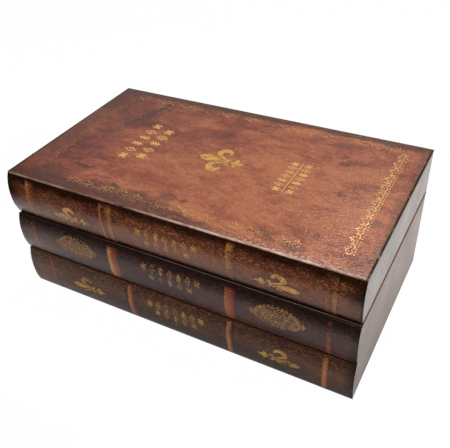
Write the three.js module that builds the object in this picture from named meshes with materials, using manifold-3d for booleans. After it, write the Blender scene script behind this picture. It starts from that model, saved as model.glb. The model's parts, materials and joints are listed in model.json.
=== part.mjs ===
// Decorative book box: a hinged keepsake box made to look like three old books in a pile.
// The two lower books are the box, and the top book is its lid, hinged at the back edge.
// Units are millimetres. +X runs along the spines, -Y is the spine side, +Z is up.
// The origin is the middle of the underside, on the surface that the box stands on.

import * as THREE from "three";
import { mergeVertices } from "three/addons/utils/BufferGeometryUtils.js";
import Module from "manifold-3d";

const wasm = await Module();
wasm.setup();

// Overall sizes.
const boxLength = 300; // end paper to end paper
const boxDepth = 168; // fold of the lid's cover to back paper
const lowerBookHeight = 39.4;
const middleBookHeight = 37.4;
const lidHeight = 40.2;
const seamGap = 0.6; // between the base's rim and the lid

// Boards and mouldings.
const wallBoard = 6;
const floorBoard = 4;
const topBoard = 5;
const mouldingDepth = 6; // fold line to the back of a spine moulding

// Sheet materials.
const leather = 1;
const paper = 0.5;
const felt = 0.8;
const rimLeather = 0.8;
const wallLining = 1.2;
const floorPad = 2;
const topPad = 2;

// Fits and edges.
const glueLine = 0.2; // between any two pieces that are glued or seated
const foldRadius = 1.2; // where the cover turns from the top down over the spine
const leatherOverhang = 0.3; // cut edge of the leather, proud of the end papers
const groundClearance = 0.2; // skins stop this far above the table
const feltInset = 2;

// Spine shape of each book, from the fold line: a setback is inwards, a bulge is outwards.
const lidSpine = { topSetback: 0, bottomSetback: 0.7, bulge: 4.2 };
const middleSpine = { topSetback: -1.9, bottomSetback: -0.6, bulge: 3.5 };
const lowerSpine = { topSetback: -1.5, bottomSetback: -1.2, bulge: 3.1 };
const bulgePower = 2.3; // 2 is a parabola, more is flatter in the middle
const spineSteps = 14;

// Hinges.
const hingeFromEnd = 60; // hinge centre to the nearer end of the box
const leafWidth = 28;
const leafHeight = 17; // hinge axis to the leaf's far edge
const leafThickness = 1.2;
const barrelRadius = 2.4;
const pinRadius = 1;
const pinClearance = 0.3;
const knuckleCount = 5;
const knuckleGap = 0.3;
const barrelToLeafGap = 0.5; // free space between a barrel and the other leaf's edge
const pinHeadRadius = 1.9;
const pinHeadLength = 1.2;
const leafCornerRadius = 3;
const openAngle = 100; // the two stop lugs meet here, in degrees
const stopSlack = 0.5; // kept off each lug's face, in degrees
const lugWidth = 5;
const lugInnerRadius = 2.9;
const lugOuterRadius = 5.2;
const lugFoot = 6.5; // hinge axis to the far end of a lug
const roundSides = 20;

// Hinge screws.
const screwSpacing = 18;
const screwFromAxis = 11;
const screwShankRadius = 0.9;
const screwHeadRadius = 2;
const screwHeadHeight = 1;
const screwPointLength = 1.5;
const screwClearance = 0.3;
const woodPastScrew = 1.8; // board left beyond a screw's point
const screwSides = 12;

// Heights that several pieces share.
const carcassBottom = felt + glueLine;
const bookSplit = lowerBookHeight;
const seamHeight = lowerBookHeight + middleBookHeight;
const baseWallTop = seamHeight - rimLeather - glueLine;
const lidBottom = seamHeight + seamGap;
const boxTop = lidBottom + lidHeight;
const lidWallBottom = lidBottom + rimLeather + glueLine;
const underLeather = boxTop - leather - glueLine;
const lidWallTop = underLeather - topBoard - glueLine;

// Faces that several pieces share.
const skin = paper + glueLine;
const endFace = boxLength / 2;
const foldLine = -boxDepth / 2;
const backFace = boxDepth / 2;
const boardEnd = endFace - skin;
const boardBack = backFace - skin;
const mouldingBack = foldLine + mouldingDepth;
const frontBoardFace = mouldingBack + glueLine;
const frontInner = frontBoardFace + wallBoard;
const backInner = boardBack - wallBoard;
const sideInner = boardEnd - wallBoard;
const liningFront = frontInner + glueLine + wallLining;
const liningBack = backInner - glueLine - wallLining;
const liningSide = sideInner - glueLine - wallLining;

const material = (color, roughness, metalness = 0) =>
  new THREE.MeshStandardMaterial({ color, roughness, metalness });
const finishes = {
  fibreboard: material(0xa5835c, 0.9),
  coverLeather: material(0x8a4630, 0.42),
  middleLeather: material(0x2a1c19, 0.4),
  lowerLeather: material(0x4a2c1e, 0.42),
  rimLeather: material(0x5b3626, 0.5),
  endPaper: material(0x9c918c, 0.85),
  velvet: material(0x4a1f1c, 0.95),
  felt: material(0x3a2a22, 0.95),
  brass: material(0x9a7a45, 0.4, 0.9),
  pin: material(0x7d6236, 0.35, 0.95),
};

// Names a mesh and adds it to its group.
function place(group, name, geometry, finish) {
  const mesh = new THREE.Mesh(geometry, finish);
  mesh.name = name;
  group.add(mesh);
  return mesh;
}

// A rectangular board or sheet between two corners.
function slab(group, name, low, high, finish) {
  const size = high.map((value, i) => value - low[i]);
  const mesh = place(group, name, new THREE.BoxGeometry(...size), finish);
  mesh.position.set(...high.map((value, i) => (value + low[i]) / 2));
  return mesh;
}

// A closed mesh as a solid that can be joined and cut.
function solidOf(geometry) {
  const bare = geometry.clone();
  bare.deleteAttribute("normal");
  bare.deleteAttribute("uv");
  const merged = mergeVertices(bare, 1e-4);
  return new wasm.Manifold(
    new wasm.Mesh({
      numProp: 3,
      vertProperties: merged.attributes.position.array,
      triVerts: new Uint32Array(merged.index.array),
    }),
  );
}

// A solid's surface as a three.js geometry.
function geometryOf(solid) {
  const { vertProperties, triVerts } = solid.getMesh();
  const geometry = new THREE.BufferGeometry();
  geometry.setAttribute("position", new THREE.BufferAttribute(vertProperties, 3));
  geometry.setIndex(new THREE.BufferAttribute(triVerts, 1));
  geometry.computeVertexNormals();
  return geometry;
}

// A section drawn in Y and Z, extruded along X between two ends.
function alongSpine(points, from, to) {
  const geometry = new THREE.ExtrudeGeometry(new THREE.Shape(points), {
    depth: to - from,
    bevelEnabled: false,
  });
  const sectionToBox = new THREE.Matrix4().makeBasis(
    new THREE.Vector3(0, 1, 0),
    new THREE.Vector3(0, 0, 1),
    new THREE.Vector3(1, 0, 0),
  );
  return geometry.applyMatrix4(sectionToBox).translate(from, 0, 0);
}

// A round bar along Y.
function barAlongY(radius, from, to, sides) {
  const geometry = new THREE.CylinderGeometry(radius, radius, to - from, sides);
  return geometry.translate(0, (from + to) / 2, 0);
}

// A round bar along X.
function barAlongX(radius, from, to, sides) {
  return barAlongY(radius, -to, -from, sides).rotateZ(Math.PI / 2);
}

// A box between two corners, as a geometry.
function block(low, high) {
  const size = high.map((value, i) => value - low[i]);
  const middle = high.map((value, i) => (value + low[i]) / 2);
  return new THREE.BoxGeometry(...size).translate(...middle);
}

// Where a book's spine lies at height z, moved inwards by inset.
function spineY(book, z, inset) {
  const share = THREE.MathUtils.clamp((z - book.bottom) / (book.top - book.bottom), 0, 1);
  const setback = THREE.MathUtils.lerp(book.shape.bottomSetback, book.shape.topSetback, share);
  const bulge = book.shape.bulge * (1 - Math.abs(2 * share - 1) ** bulgePower);
  return foldLine + setback - bulge + inset;
}

// Points of a book's spine from one height to another.
function spinePoints(book, from, to, inset) {
  return Array.from({ length: spineSteps + 1 }, (_, i) => {
    const z = THREE.MathUtils.lerp(from, to, i / spineSteps);
    return new THREE.Vector2(spineY(book, z, inset), z);
  });
}

const underSkin = leather + glueLine;
const lowerBook = { bottom: groundClearance, top: bookSplit - glueLine / 2, shape: lowerSpine };
const middleBook = { bottom: bookSplit + glueLine / 2, top: baseWallTop, shape: middleSpine };
const lidBook = { bottom: lidBottom, top: boxTop - foldRadius, shape: lidSpine };

// A moulding with the spine's curve in front and a flat back.
function mouldingSection(book, bottom, top) {
  return [
    new THREE.Vector2(mouldingBack, top),
    new THREE.Vector2(mouldingBack, bottom),
    ...spinePoints(book, bottom, top, underSkin),
  ].reverse();
}

// The skin of one spine: the curve outside, and the same curve one thickness further in.
function spineSkinSection(book) {
  return [
    ...spinePoints(book, book.top, book.bottom, 0),
    ...spinePoints(book, book.bottom, book.top, leather),
  ];
}

// The lid's cover in one piece: flat top, fold, and spine.
function coverSection() {
  const foldSteps = 4;
  const fold = Array.from({ length: foldSteps }, (_, i) => {
    const angle = (Math.PI / 2) * (1 + i / foldSteps);
    return new THREE.Vector2(
      foldLine + foldRadius * (1 + Math.cos(angle)),
      boxTop - foldRadius * (1 - Math.sin(angle)),
    );
  });
  return [
    new THREE.Vector2(backFace, boxTop),
    ...fold,
    ...spinePoints(lidBook, lidBook.top, lidBook.bottom, 0),
    ...spinePoints(lidBook, lidBook.bottom, boxTop - leather, leather),
    new THREE.Vector2(backFace, boxTop - leather),
  ];
}

// A paper that covers one end: straight at the back, and the books' curves in front.
function endPaperSection(books, bottom, top) {
  const front = books.flatMap((book) =>
    spinePoints(book, Math.max(book.bottom, bottom), Math.min(book.reach ?? book.top, top), underSkin),
  );
  return [
    new THREE.Vector2(boardBack, top),
    new THREE.Vector2(boardBack, bottom),
    ...front,
  ].reverse();
}

// A flat frame that covers the edges of the four walls, with the box's opening in it.
function rimGeometry(front, back, side) {
  const outline = new THREE.Shape([
    new THREE.Vector2(-side, front),
    new THREE.Vector2(side, front),
    new THREE.Vector2(side, back),
    new THREE.Vector2(-side, back),
  ]);
  outline.holes.push(
    new THREE.Path([
      new THREE.Vector2(-liningSide, liningFront),
      new THREE.Vector2(-liningSide, liningBack),
      new THREE.Vector2(liningSide, liningBack),
      new THREE.Vector2(liningSide, liningFront),
    ]),
  );
  return new THREE.ExtrudeGeometry(outline, { depth: rimLeather, bevelEnabled: false });
}

// Four walls that butt against each other: front and back run full length, the sides fit between.
function addWalls(group, prefix, bottom, top) {
  slab(group, `${prefix}_front_board`, [-boardEnd, frontBoardFace, bottom], [boardEnd, frontInner, top],
    finishes.fibreboard);
  const backGeometry = block([-boardEnd, backInner, bottom], [boardEnd, boardBack, top]);
  place(group, `${prefix}_back_board`, drilled(backGeometry, prefix), finishes.fibreboard);
  for (const [side, sign] of [["left", -1], ["right", 1]]) {
    const faces = [sign * sideInner, sign * boardEnd].sort((a, b) => a - b);
    slab(group, `${prefix}_${side}_board`, [faces[0], frontInner + glueLine, bottom],
      [faces[1], backInner - glueLine, top], finishes.fibreboard);
  }
}

// Papers over the back and both ends.
function addPapers(group, prefix, books, bottom, top) {
  const backGeometry = block([-endFace, backFace - paper, bottom], [endFace, backFace, top]);
  place(group, `${prefix}_back_paper`, drilled(backGeometry, prefix), finishes.endPaper);
  const section = endPaperSection(books, bottom, top);
  for (const [side, from] of [["left", -endFace], ["right", endFace - paper]]) {
    place(group, `${prefix}_${side}_end_paper`, alongSpine(section, from, from + paper), finishes.endPaper);
  }
}

// Velvet-covered cards on the four walls.
function addWallLinings(group, prefix, bottom, top) {
  const outerSide = sideInner - glueLine;
  slab(group, `${prefix}_front_lining`, [-outerSide, frontInner + glueLine, bottom],
    [outerSide, liningFront, top], finishes.velvet);
  slab(group, `${prefix}_back_lining`, [-outerSide, liningBack, bottom],
    [outerSide, backInner - glueLine, top], finishes.velvet);
  for (const [side, sign] of [["left", -1], ["right", 1]]) {
    const faces = [sign * liningSide, sign * outerSide].sort((a, b) => a - b);
    slab(group, `${prefix}_${side}_lining`, [faces[0], liningFront + glueLine, bottom],
      [faces[1], liningBack - glueLine, top], finishes.velvet);
  }
}

// The hinge line: behind the back papers, level with the middle of the seam.
const hingeAxisY = backFace + glueLine + barrelRadius;
const hingeAxisZ = seamHeight + seamGap / 2;
const leafInner = -barrelRadius;
const leafOuter = leafInner + leafThickness;
const screwSeat = leafOuter + glueLine;
const boardInnerFromAxis = backInner - hingeAxisY;
const screwPoint = boardInnerFromAxis + woodPastScrew;
const hinges = [
  { name: "left_hinge", x: hingeFromEnd - endFace },
  { name: "right_hinge", x: endFace - hingeFromEnd },
];
const leafSign = { base: -1, lid: 1 };

// Cuts the hinge screws' holes into a back board or a back paper.
function drilled(geometry, prefix) {
  let solid = solidOf(geometry);
  for (const hinge of hinges) {
    for (const side of [-1, 1]) {
      const hole = barAlongY(
        screwShankRadius + screwClearance,
        screwPoint - screwClearance,
        screwSeat,
        screwSides,
      ).translate(
        hinge.x + (side * screwSpacing) / 2,
        hingeAxisY,
        hingeAxisZ + leafSign[prefix] * screwFromAxis,
      );
      solid = solid.subtract(solidOf(hole));
    }
  }
  return geometryOf(solid);
}

// A leaf plate with its two far corners rounded, drawn downwards from the barrel.
function leafPlate() {
  const half = leafWidth / 2;
  const near = barrelRadius + barrelToLeafGap;
  const r = leafCornerRadius;
  const outline = new THREE.Shape();
  outline.moveTo(-half, -near);
  outline.lineTo(-half, -leafHeight + r);
  outline.absarc(-half + r, -leafHeight + r, r, Math.PI, Math.PI * 1.5, false);
  outline.lineTo(half - r, -leafHeight);
  outline.absarc(half - r, -leafHeight + r, r, -Math.PI / 2, 0, false);
  outline.lineTo(half, -near);
  const plate = new THREE.ExtrudeGeometry(outline, {
    depth: leafThickness,
    bevelEnabled: false,
    curveSegments: 5,
  });
  return plate.rotateX(Math.PI / 2).translate(0, leafOuter, 0);
}

// The lug that stops the hinge: its sloped face lies on a plane through the hinge line.
function stopLug() {
  const angle = THREE.MathUtils.degToRad((180 - openAngle) / 2 - stopSlack);
  const inside = (leafInner + leafOuter) / 2;
  const section = [
    new THREE.Vector2(inside, -lugFoot),
    new THREE.Vector2(lugOuterRadius * Math.sin(angle), -lugOuterRadius * Math.cos(angle)),
    new THREE.Vector2(lugInnerRadius * Math.sin(angle), -lugInnerRadius * Math.cos(angle)),
    new THREE.Vector2(inside, -(barrelRadius + barrelToLeafGap)),
  ];
  return alongSpine(section, -lugWidth / 2, lugWidth / 2);
}

// One leaf with its knuckles, drawn as the base's leaf. The lid's leaf is the same, turned over.
function leafGeometry(part) {
  let solid = solidOf(leafPlate()).add(solidOf(stopLug()));
  const pitch = leafWidth / knuckleCount;
  for (let i = part === "base" ? 0 : 1; i < knuckleCount; i += 2) {
    const from = -leafWidth / 2 + i * pitch + (i > 0 ? knuckleGap / 2 : 0);
    const to = -leafWidth / 2 + (i + 1) * pitch - (i < knuckleCount - 1 ? knuckleGap / 2 : 0);
    const barrel = solidOf(barAlongX(barrelRadius, from, to, roundSides));
    const web = solidOf(block([from, leafInner, -lugFoot], [to, leafOuter, 0]));
    solid = solid.add(barrel).add(web);
  }
  solid = solid.subtract(
    solidOf(barAlongX(pinRadius + pinClearance, -leafWidth, leafWidth, roundSides)),
  );
  for (const side of [-1, 1]) {
    const hole = barAlongY(screwShankRadius + screwClearance, leafInner * 2, 0, screwSides);
    solid = solid.subtract(solidOf(hole.translate((side * screwSpacing) / 2, 0, -screwFromAxis)));
  }
  const geometry = geometryOf(solid);
  return part === "base" ? geometry : geometry.rotateY(Math.PI);
}

// A hinge pin with a rounded head past each end of the barrel.
function pinGeometry() {
  const neck = leafWidth / 2 + knuckleGap;
  const headSteps = 4;
  const head = Array.from({ length: headSteps }, (_, i) => {
    const angle = (Math.PI / 2) * (i / headSteps);
    return new THREE.Vector2(pinHeadRadius * Math.cos(angle), neck + pinHeadLength * Math.sin(angle));
  });
  const half = [...head, new THREE.Vector2(0, neck + pinHeadLength)];
  const mirrored = half.map((point) => new THREE.Vector2(point.x, -point.y)).reverse();
  const profile = [
    ...mirrored,
    new THREE.Vector2(pinRadius, -neck),
    new THREE.Vector2(pinRadius, neck),
    ...half,
  ];
  return new THREE.LatheGeometry(profile, roundSides).rotateZ(Math.PI / 2);
}

// A round-headed wood screw along Y, head outwards, seated at the origin.
function screwGeometry() {
  const headSteps = 3;
  const length = screwSeat - screwPoint;
  const dome = Array.from({ length: headSteps }, (_, i) => {
    const angle = (Math.PI / 2) * (i / headSteps);
    return new THREE.Vector2(screwHeadRadius * Math.cos(angle), screwHeadHeight * Math.sin(angle));
  });
  const profile = [
    new THREE.Vector2(0, -length),
    new THREE.Vector2(screwShankRadius, -length + screwPointLength),
    new THREE.Vector2(screwShankRadius, 0),
    ...dome,
    new THREE.Vector2(0, screwHeadHeight),
  ];
  return new THREE.LatheGeometry(profile, screwSides);
}

const base = new THREE.Group();
const lid = new THREE.Group();

// Base: carcass of fibreboard.
slab(base, "base_floor_board", [-sideInner + glueLine, frontInner + glueLine, carcassBottom],
  [sideInner - glueLine, backInner - glueLine, carcassBottom + floorBoard], finishes.fibreboard);
addWalls(base, "base", carcassBottom, baseWallTop);

// Base: the two lower books' spines.
place(base, "lower_spine_moulding",
  alongSpine(mouldingSection(lowerBook, carcassBottom, lowerBook.top), -boardEnd, boardEnd),
  finishes.fibreboard);
place(base, "middle_spine_moulding",
  alongSpine(mouldingSection(middleBook, middleBook.bottom, middleBook.top), -boardEnd, boardEnd),
  finishes.fibreboard);
const leatherEnd = endFace + leatherOverhang;
place(base, "lower_spine_leather", alongSpine(spineSkinSection(lowerBook), -leatherEnd, leatherEnd),
  finishes.lowerLeather);
place(base, "middle_spine_leather", alongSpine(spineSkinSection(middleBook), -leatherEnd, leatherEnd),
  finishes.middleLeather);

// Base: papers, rim, underside and linings.
addPapers(base, "base", [lowerBook, middleBook], groundClearance, baseWallTop);
const baseRim = place(base, "base_rim",
  rimGeometry(foldLine + middleSpine.topSetback, backFace, leatherEnd), finishes.rimLeather);
baseRim.position.z = seamHeight - rimLeather;
slab(base, "underside_felt", [-boardEnd + feltInset, foldLine + feltInset, 0],
  [boardEnd - feltInset, boardBack - feltInset, felt], finishes.felt);
const floorPadBottom = carcassBottom + floorBoard + glueLine;
slab(base, "base_floor_lining", [-sideInner + glueLine, frontInner + glueLine, floorPadBottom],
  [sideInner - glueLine, backInner - glueLine, floorPadBottom + floorPad], finishes.velvet);
addWallLinings(base, "base", floorPadBottom + floorPad + glueLine, baseWallTop);

// Lid: top board, walls and spine.
slab(lid, "lid_top_board", [-boardEnd, frontBoardFace, lidWallTop + glueLine],
  [boardEnd, boardBack, underLeather], finishes.fibreboard);
addWalls(lid, "lid", lidWallBottom, lidWallTop);
place(lid, "lid_spine_moulding",
  alongSpine(mouldingSection(lidBook, lidWallBottom, underLeather), -boardEnd, boardEnd),
  finishes.fibreboard);
place(lid, "lid_cover_leather", alongSpine(coverSection(), -leatherEnd, leatherEnd),
  finishes.coverLeather);

// Lid: papers, rim and linings.
addPapers(lid, "lid", [{ ...lidBook, reach: underLeather }], lidBottom, underLeather);
const lidRim = place(lid, "lid_rim",
  rimGeometry(foldLine + lidSpine.bottomSetback + underSkin, boardBack, boardEnd), finishes.rimLeather);
lidRim.position.z = lidBottom;
slab(lid, "lid_top_lining", [-sideInner + glueLine, frontInner + glueLine, lidWallTop - topPad],
  [sideInner - glueLine, backInner - glueLine, lidWallTop], finishes.velvet);
addWallLinings(lid, "lid", lidWallBottom, lidWallTop - topPad - glueLine);

// Hinges: each has a leaf on the base, a leaf on the lid, a pin and four screws.
for (const hinge of hinges) {
  for (const [part, group] of [["base", base], ["lid", lid]]) {
    const seat = new THREE.Group();
    seat.position.set(hinge.x, hingeAxisY, hingeAxisZ);
    group.add(seat);
    place(seat, `${hinge.name}_${part}_leaf`, leafGeometry(part), finishes.brass);
    for (const [number, side] of [[1, -1], [2, 1]]) {
      const screw = place(seat, `${hinge.name}_${part}_screw_${number}`, screwGeometry(), finishes.brass);
      screw.position.set((side * screwSpacing) / 2, screwSeat, leafSign[part] * screwFromAxis);
    }
    if (part === "base") {
      place(seat, `${hinge.name}_pin`, pinGeometry(), finishes.pin);
    }
  }
}

const bookBox = new THREE.Group();
bookBox.name = "book_box";
bookBox.add(base, lid);

export default bookBox;
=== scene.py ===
"""Decorative book box: the looks of a hinged keepsake box made as a pile of three old books.

Builds the leather, gilt tooling, velvet, felt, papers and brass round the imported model. Sizes are in
millimetres until a mesh is made, which is in metres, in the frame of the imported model.
"""

import json
import logging
import math
from collections.abc import Iterable, Sequence
from dataclasses import dataclass, field, replace
from enum import Enum

import bpy
from mathutils import Matrix, Vector, noise
from mathutils.geometry import delaunay_2d_cdt

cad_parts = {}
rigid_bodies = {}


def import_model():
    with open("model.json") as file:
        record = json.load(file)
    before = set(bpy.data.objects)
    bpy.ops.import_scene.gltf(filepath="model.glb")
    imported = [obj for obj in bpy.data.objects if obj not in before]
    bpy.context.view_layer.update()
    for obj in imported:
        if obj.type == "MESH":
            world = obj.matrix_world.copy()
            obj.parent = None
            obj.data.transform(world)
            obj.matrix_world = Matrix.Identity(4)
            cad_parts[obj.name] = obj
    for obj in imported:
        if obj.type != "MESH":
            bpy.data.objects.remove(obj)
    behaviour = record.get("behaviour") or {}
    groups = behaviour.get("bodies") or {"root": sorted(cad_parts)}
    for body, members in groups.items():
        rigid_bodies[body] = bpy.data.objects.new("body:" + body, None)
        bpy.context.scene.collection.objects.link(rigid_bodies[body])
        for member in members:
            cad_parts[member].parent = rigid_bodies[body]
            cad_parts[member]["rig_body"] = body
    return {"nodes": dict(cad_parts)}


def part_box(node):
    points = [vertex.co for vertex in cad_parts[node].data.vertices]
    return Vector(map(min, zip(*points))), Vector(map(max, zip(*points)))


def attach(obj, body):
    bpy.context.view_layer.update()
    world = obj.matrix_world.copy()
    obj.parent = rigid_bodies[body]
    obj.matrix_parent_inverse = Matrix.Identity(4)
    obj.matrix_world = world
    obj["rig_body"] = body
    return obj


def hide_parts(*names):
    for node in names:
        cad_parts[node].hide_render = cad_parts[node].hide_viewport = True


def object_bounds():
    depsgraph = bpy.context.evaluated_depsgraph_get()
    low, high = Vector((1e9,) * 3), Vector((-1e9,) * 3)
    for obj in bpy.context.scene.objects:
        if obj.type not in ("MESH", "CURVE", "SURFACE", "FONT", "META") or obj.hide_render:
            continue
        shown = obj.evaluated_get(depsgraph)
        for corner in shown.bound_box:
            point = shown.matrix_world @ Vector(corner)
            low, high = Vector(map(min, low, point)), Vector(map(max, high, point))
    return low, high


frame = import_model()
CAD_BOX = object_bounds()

LOG = logging.getLogger("book_box")
MM = 0.001
Shade = tuple[int, int, int]
Socket = bpy.types.NodeSocket
Feed = float | tuple | Socket


class Body(Enum):
    """The two halves of the box that move against each other."""

    BASE = "base"
    LID = "lid"


class Slot(Enum):
    """The record's material slots."""

    FIBREBOARD = "fibreboard"
    COVER_LEATHER = "cover_leather"
    MIDDLE_LEATHER = "middle_leather"
    LOWER_LEATHER = "lower_leather"
    RIM_LEATHER = "rim_leather"
    END_PAPER = "end_paper"
    VELVET = "velvet"
    FELT = "felt"
    BRASS = "brass"
    PIN_BRASS = "pin_brass"


def corners(node: str) -> tuple[Vector, Vector]:
    """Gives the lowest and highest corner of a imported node, in millimetres."""
    low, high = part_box(node)
    return low / MM, high / MM


def linear(shade: Shade) -> tuple[float, float, float, float]:
    """Turns a shade of 0 to 255 a channel into the linear colour that a shader takes."""

    def channel(value: int) -> float:
        """Turns one channel into its linear value."""
        share = value / 255
        return share / 12.92 if share <= 0.04045 else ((share + 0.055) / 1.055) ** 2.4

    return (*(channel(value) for value in shade), 1.0)


@dataclass(frozen=True)
class Surface:
    """What a finish hands to the shader: colour, roughness, bumped normal, gloss and the painted shade in the
    grain's wells.
    """

    colour: Socket
    roughness: Socket
    normal: Socket
    gloss: Feed = 0.5
    # How dark the grain's wells are painted, as shade in its hollows.
    wells: Feed = 0.0


class Bench:
    """A material's node tree, with short calls for the nodes that the finishes share."""

    def __init__(self, name: str) -> None:
        """Starts an empty material.

        Args:
            name: The material's name.
        """
        self.material = bpy.data.materials.new(name)
        self.material.use_nodes = True
        self.tree = self.material.node_tree
        self.tree.nodes.clear()
        self.place = self.node("ShaderNodeTexCoord").outputs["Object"]
        axes = self.node("ShaderNodeSeparateXYZ")
        self.feed(axes.inputs[0], self.place)
        self.x, self.y, self.z = (self.math("DIVIDE", axis, MM) for axis in axes.outputs)

    def node(self, kind: str, **settings: object) -> bpy.types.Node:
        """Adds a node.

        Args:
            kind: The node's type.
            **settings: Attributes to set on it.

        Returns:
            The new node.
        """
        made = self.tree.nodes.new(kind)
        for key, value in settings.items():
            setattr(made, key, value)
        return made

    def feed(self, socket: Socket, value: Feed) -> None:
        """Links a socket to another, or sets its plain value.

        Args:
            socket: The input.
            value: A socket to link, or a value to set.
        """
        if isinstance(value, bpy.types.NodeSocket):
            self.tree.links.new(value, socket)
        else:
            socket.default_value = value

    def math(self, operation: str, *values: Feed) -> Socket:
        """Works out one sum.

        Args:
            operation: The Math node's operation.
            *values: Its inputs.

        Returns:
            The result.
        """
        made = self.node("ShaderNodeMath", operation=operation)
        for socket, value in zip(made.inputs, values):
            self.feed(socket, value)
        return made.outputs[0]

    def chain(self, operation: str, values: Sequence[Feed]) -> Socket:
        """Works out one sum over several values, two at a time.

        Args:
            operation: The Math node's operation.
            values: The values.

        Returns:
            The result.
        """
        result = values[0]
        for value in values[1:]:
            result = self.math(operation, result, value)
        return result

    def plus(self, *values: Feed) -> Socket:
        """Adds several values up."""
        return self.chain("ADD", values)

    def minus(self, first: Feed, second: Feed) -> Socket:
        """Takes the second value from the first."""
        return self.math("SUBTRACT", first, second)

    def product(self, *values: Feed) -> Socket:
        """Multiplies several values."""
        return self.chain("MULTIPLY", values)

    def least(self, *values: Feed) -> Socket:
        """Gives the smallest of several values."""
        return self.chain("MINIMUM", values)

    def most(self, *values: Feed) -> Socket:
        """Gives the largest of several values."""
        return self.chain("MAXIMUM", values)

    def total(self, *terms: tuple[float, Socket]) -> Socket:
        """Adds several values up, each times its own weight.

        Args:
            *terms: Each weight and its value.

        Returns:
            The sum.
        """
        result: Feed = 0.0
        for weight, term in terms:
            result = self.math("MULTIPLY_ADD", term, weight, result)
        return result

    def remap(self, value: Feed, low: Feed, high: Feed, to_low: Feed = 0.0, to_high: Feed = 1.0) -> Socket:
        """Eases a value from one range into another.

        Args:
            value: The value.
            low: Where the result starts to change.
            high: Where it stops.
            to_low: The result at low.
            to_high: The result at high.

        Returns:
            The eased value.
        """
        made = self.node("ShaderNodeMapRange", interpolation_type="SMOOTHSTEP")
        for socket, number in zip(made.inputs, (value, low, high, to_low, to_high)):
            self.feed(socket, number)
        return made.outputs[0]

    def mix(self, share: Feed, first: Feed, second: Feed) -> Socket:
        """Mixes two colours.

        Args:
            share: How much of the second colour shows.
            first: The first colour.
            second: The second colour.

        Returns:
            The mixed colour.
        """
        made = self.node("ShaderNodeMix", data_type="RGBA")
        self.feed(made.inputs[0], share)
        self.feed(made.inputs[6], first)
        self.feed(made.inputs[7], second)
        return made.outputs[2]

    def mix_value(self, share: Feed, first: Feed, second: Feed) -> Socket:
        """Gives the value that lies between two, by a share."""
        return self.math("MULTIPLY_ADD", share, self.minus(second, first), first)

    def stops(self, value: Socket, *stops: tuple[float, Shade]) -> Socket:
        """Turns a value into a colour through a ramp of shades.

        Args:
            value: Where on the ramp.
            *stops: Each stop's place and shade.

        Returns:
            The colour.
        """
        made = self.node("ShaderNodeValToRGB")
        elements = made.color_ramp.elements
        while len(elements) < len(stops):
            elements.new(0.5)
        for element, (place, shade) in zip(elements, stops):
            element.position = place
            element.color = linear(shade)
        self.feed(made.inputs[0], value)
        return made.outputs[0]

    def shifted(self, offset: float, stretch: tuple[float, float, float] = (1, 1, 1)) -> Socket:
        """Gives the object's own coordinates, moved and stretched, so that two patterns differ.

        Args:
            offset: How far to move, in metres.
            stretch: How much longer the pattern is along each axis.

        Returns:
            The coordinates.
        """
        made = self.node("ShaderNodeMapping")
        self.feed(made.inputs["Vector"], self.place)
        made.inputs["Location"].default_value = (offset, offset * 0.7, -offset)
        made.inputs["Scale"].default_value = tuple(1 / s for s in stretch)
        return made.outputs[0]

    def noise(
        self,
        size: float,
        detail: float = 3.0,
        roughness: float = 0.5,
        distortion: float = 0.0,
        stretch: tuple[float, float, float] = (1, 1, 1),
        offset: float = 0.0,
    ) -> Socket:
        """Makes cloudy noise.

        Args:
            size: The size of its largest clouds, in millimetres.
            detail: How many finer layers it has.
            roughness: How strong the finer layers are.
            distortion: How much it swirls.
            stretch: How much longer it is along each axis.
            offset: A shift in metres, to make one noise differ from another.

        Returns:
            The noise, about 0.5 on average.
        """
        made = self.node("ShaderNodeTexNoise")
        self.feed(made.inputs["Vector"], self.shifted(offset, stretch))
        settings = {
            "Scale": 1 / (size * MM),
            "Detail": detail,
            "Roughness": roughness,
            "Distortion": distortion,
        }
        for key, value in settings.items():
            made.inputs[key].default_value = value
        return made.outputs[0]

    def cells(self, size: float, warp: float, stretch: tuple[float, float, float] = (1, 1, 1)) -> Socket:
        """Makes irregular cells, as in pebbled leather.

        Args:
            size: The size of a cell, in millimetres.
            warp: How far the cells' edges wander, in millimetres.
            stretch: How much longer they are along each axis.

        Returns:
            The distance to the nearest cell edge, as a share of a cell's size.
        """
        swirl = self.node("ShaderNodeTexNoise")
        self.feed(swirl.inputs["Vector"], self.place)
        swirl.inputs["Scale"].default_value = 1 / (2 * size * MM)
        moved = self.node("ShaderNodeVectorMath", operation="MULTIPLY_ADD")
        self.feed(moved.inputs[0], swirl.outputs[1])
        moved.inputs[1].default_value = (warp * MM,) * 3
        self.feed(moved.inputs[2], self.shifted(0.0, stretch))
        made = self.node("ShaderNodeTexVoronoi", feature="DISTANCE_TO_EDGE")
        self.feed(made.inputs["Vector"], moved.outputs[0])
        made.inputs["Scale"].default_value = 1 / (size * MM)
        return made.outputs[0]

    def bump(self, height: Socket, depth: float, below: Socket | None = None) -> Socket:
        """Bends the surface's normal by a height.

        Args:
            height: The height, from 0 to 1.
            depth: What a height of 1 stands for, in millimetres.
            below: A normal that is bent already.

        Returns:
            The bent normal.
        """
        made = self.node("ShaderNodeBump")
        made.inputs["Distance"].default_value = depth * MM
        self.feed(made.inputs["Height"], height)
        if below is not None:
            self.feed(made.inputs["Normal"], below)
        return made.outputs[0]

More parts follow.
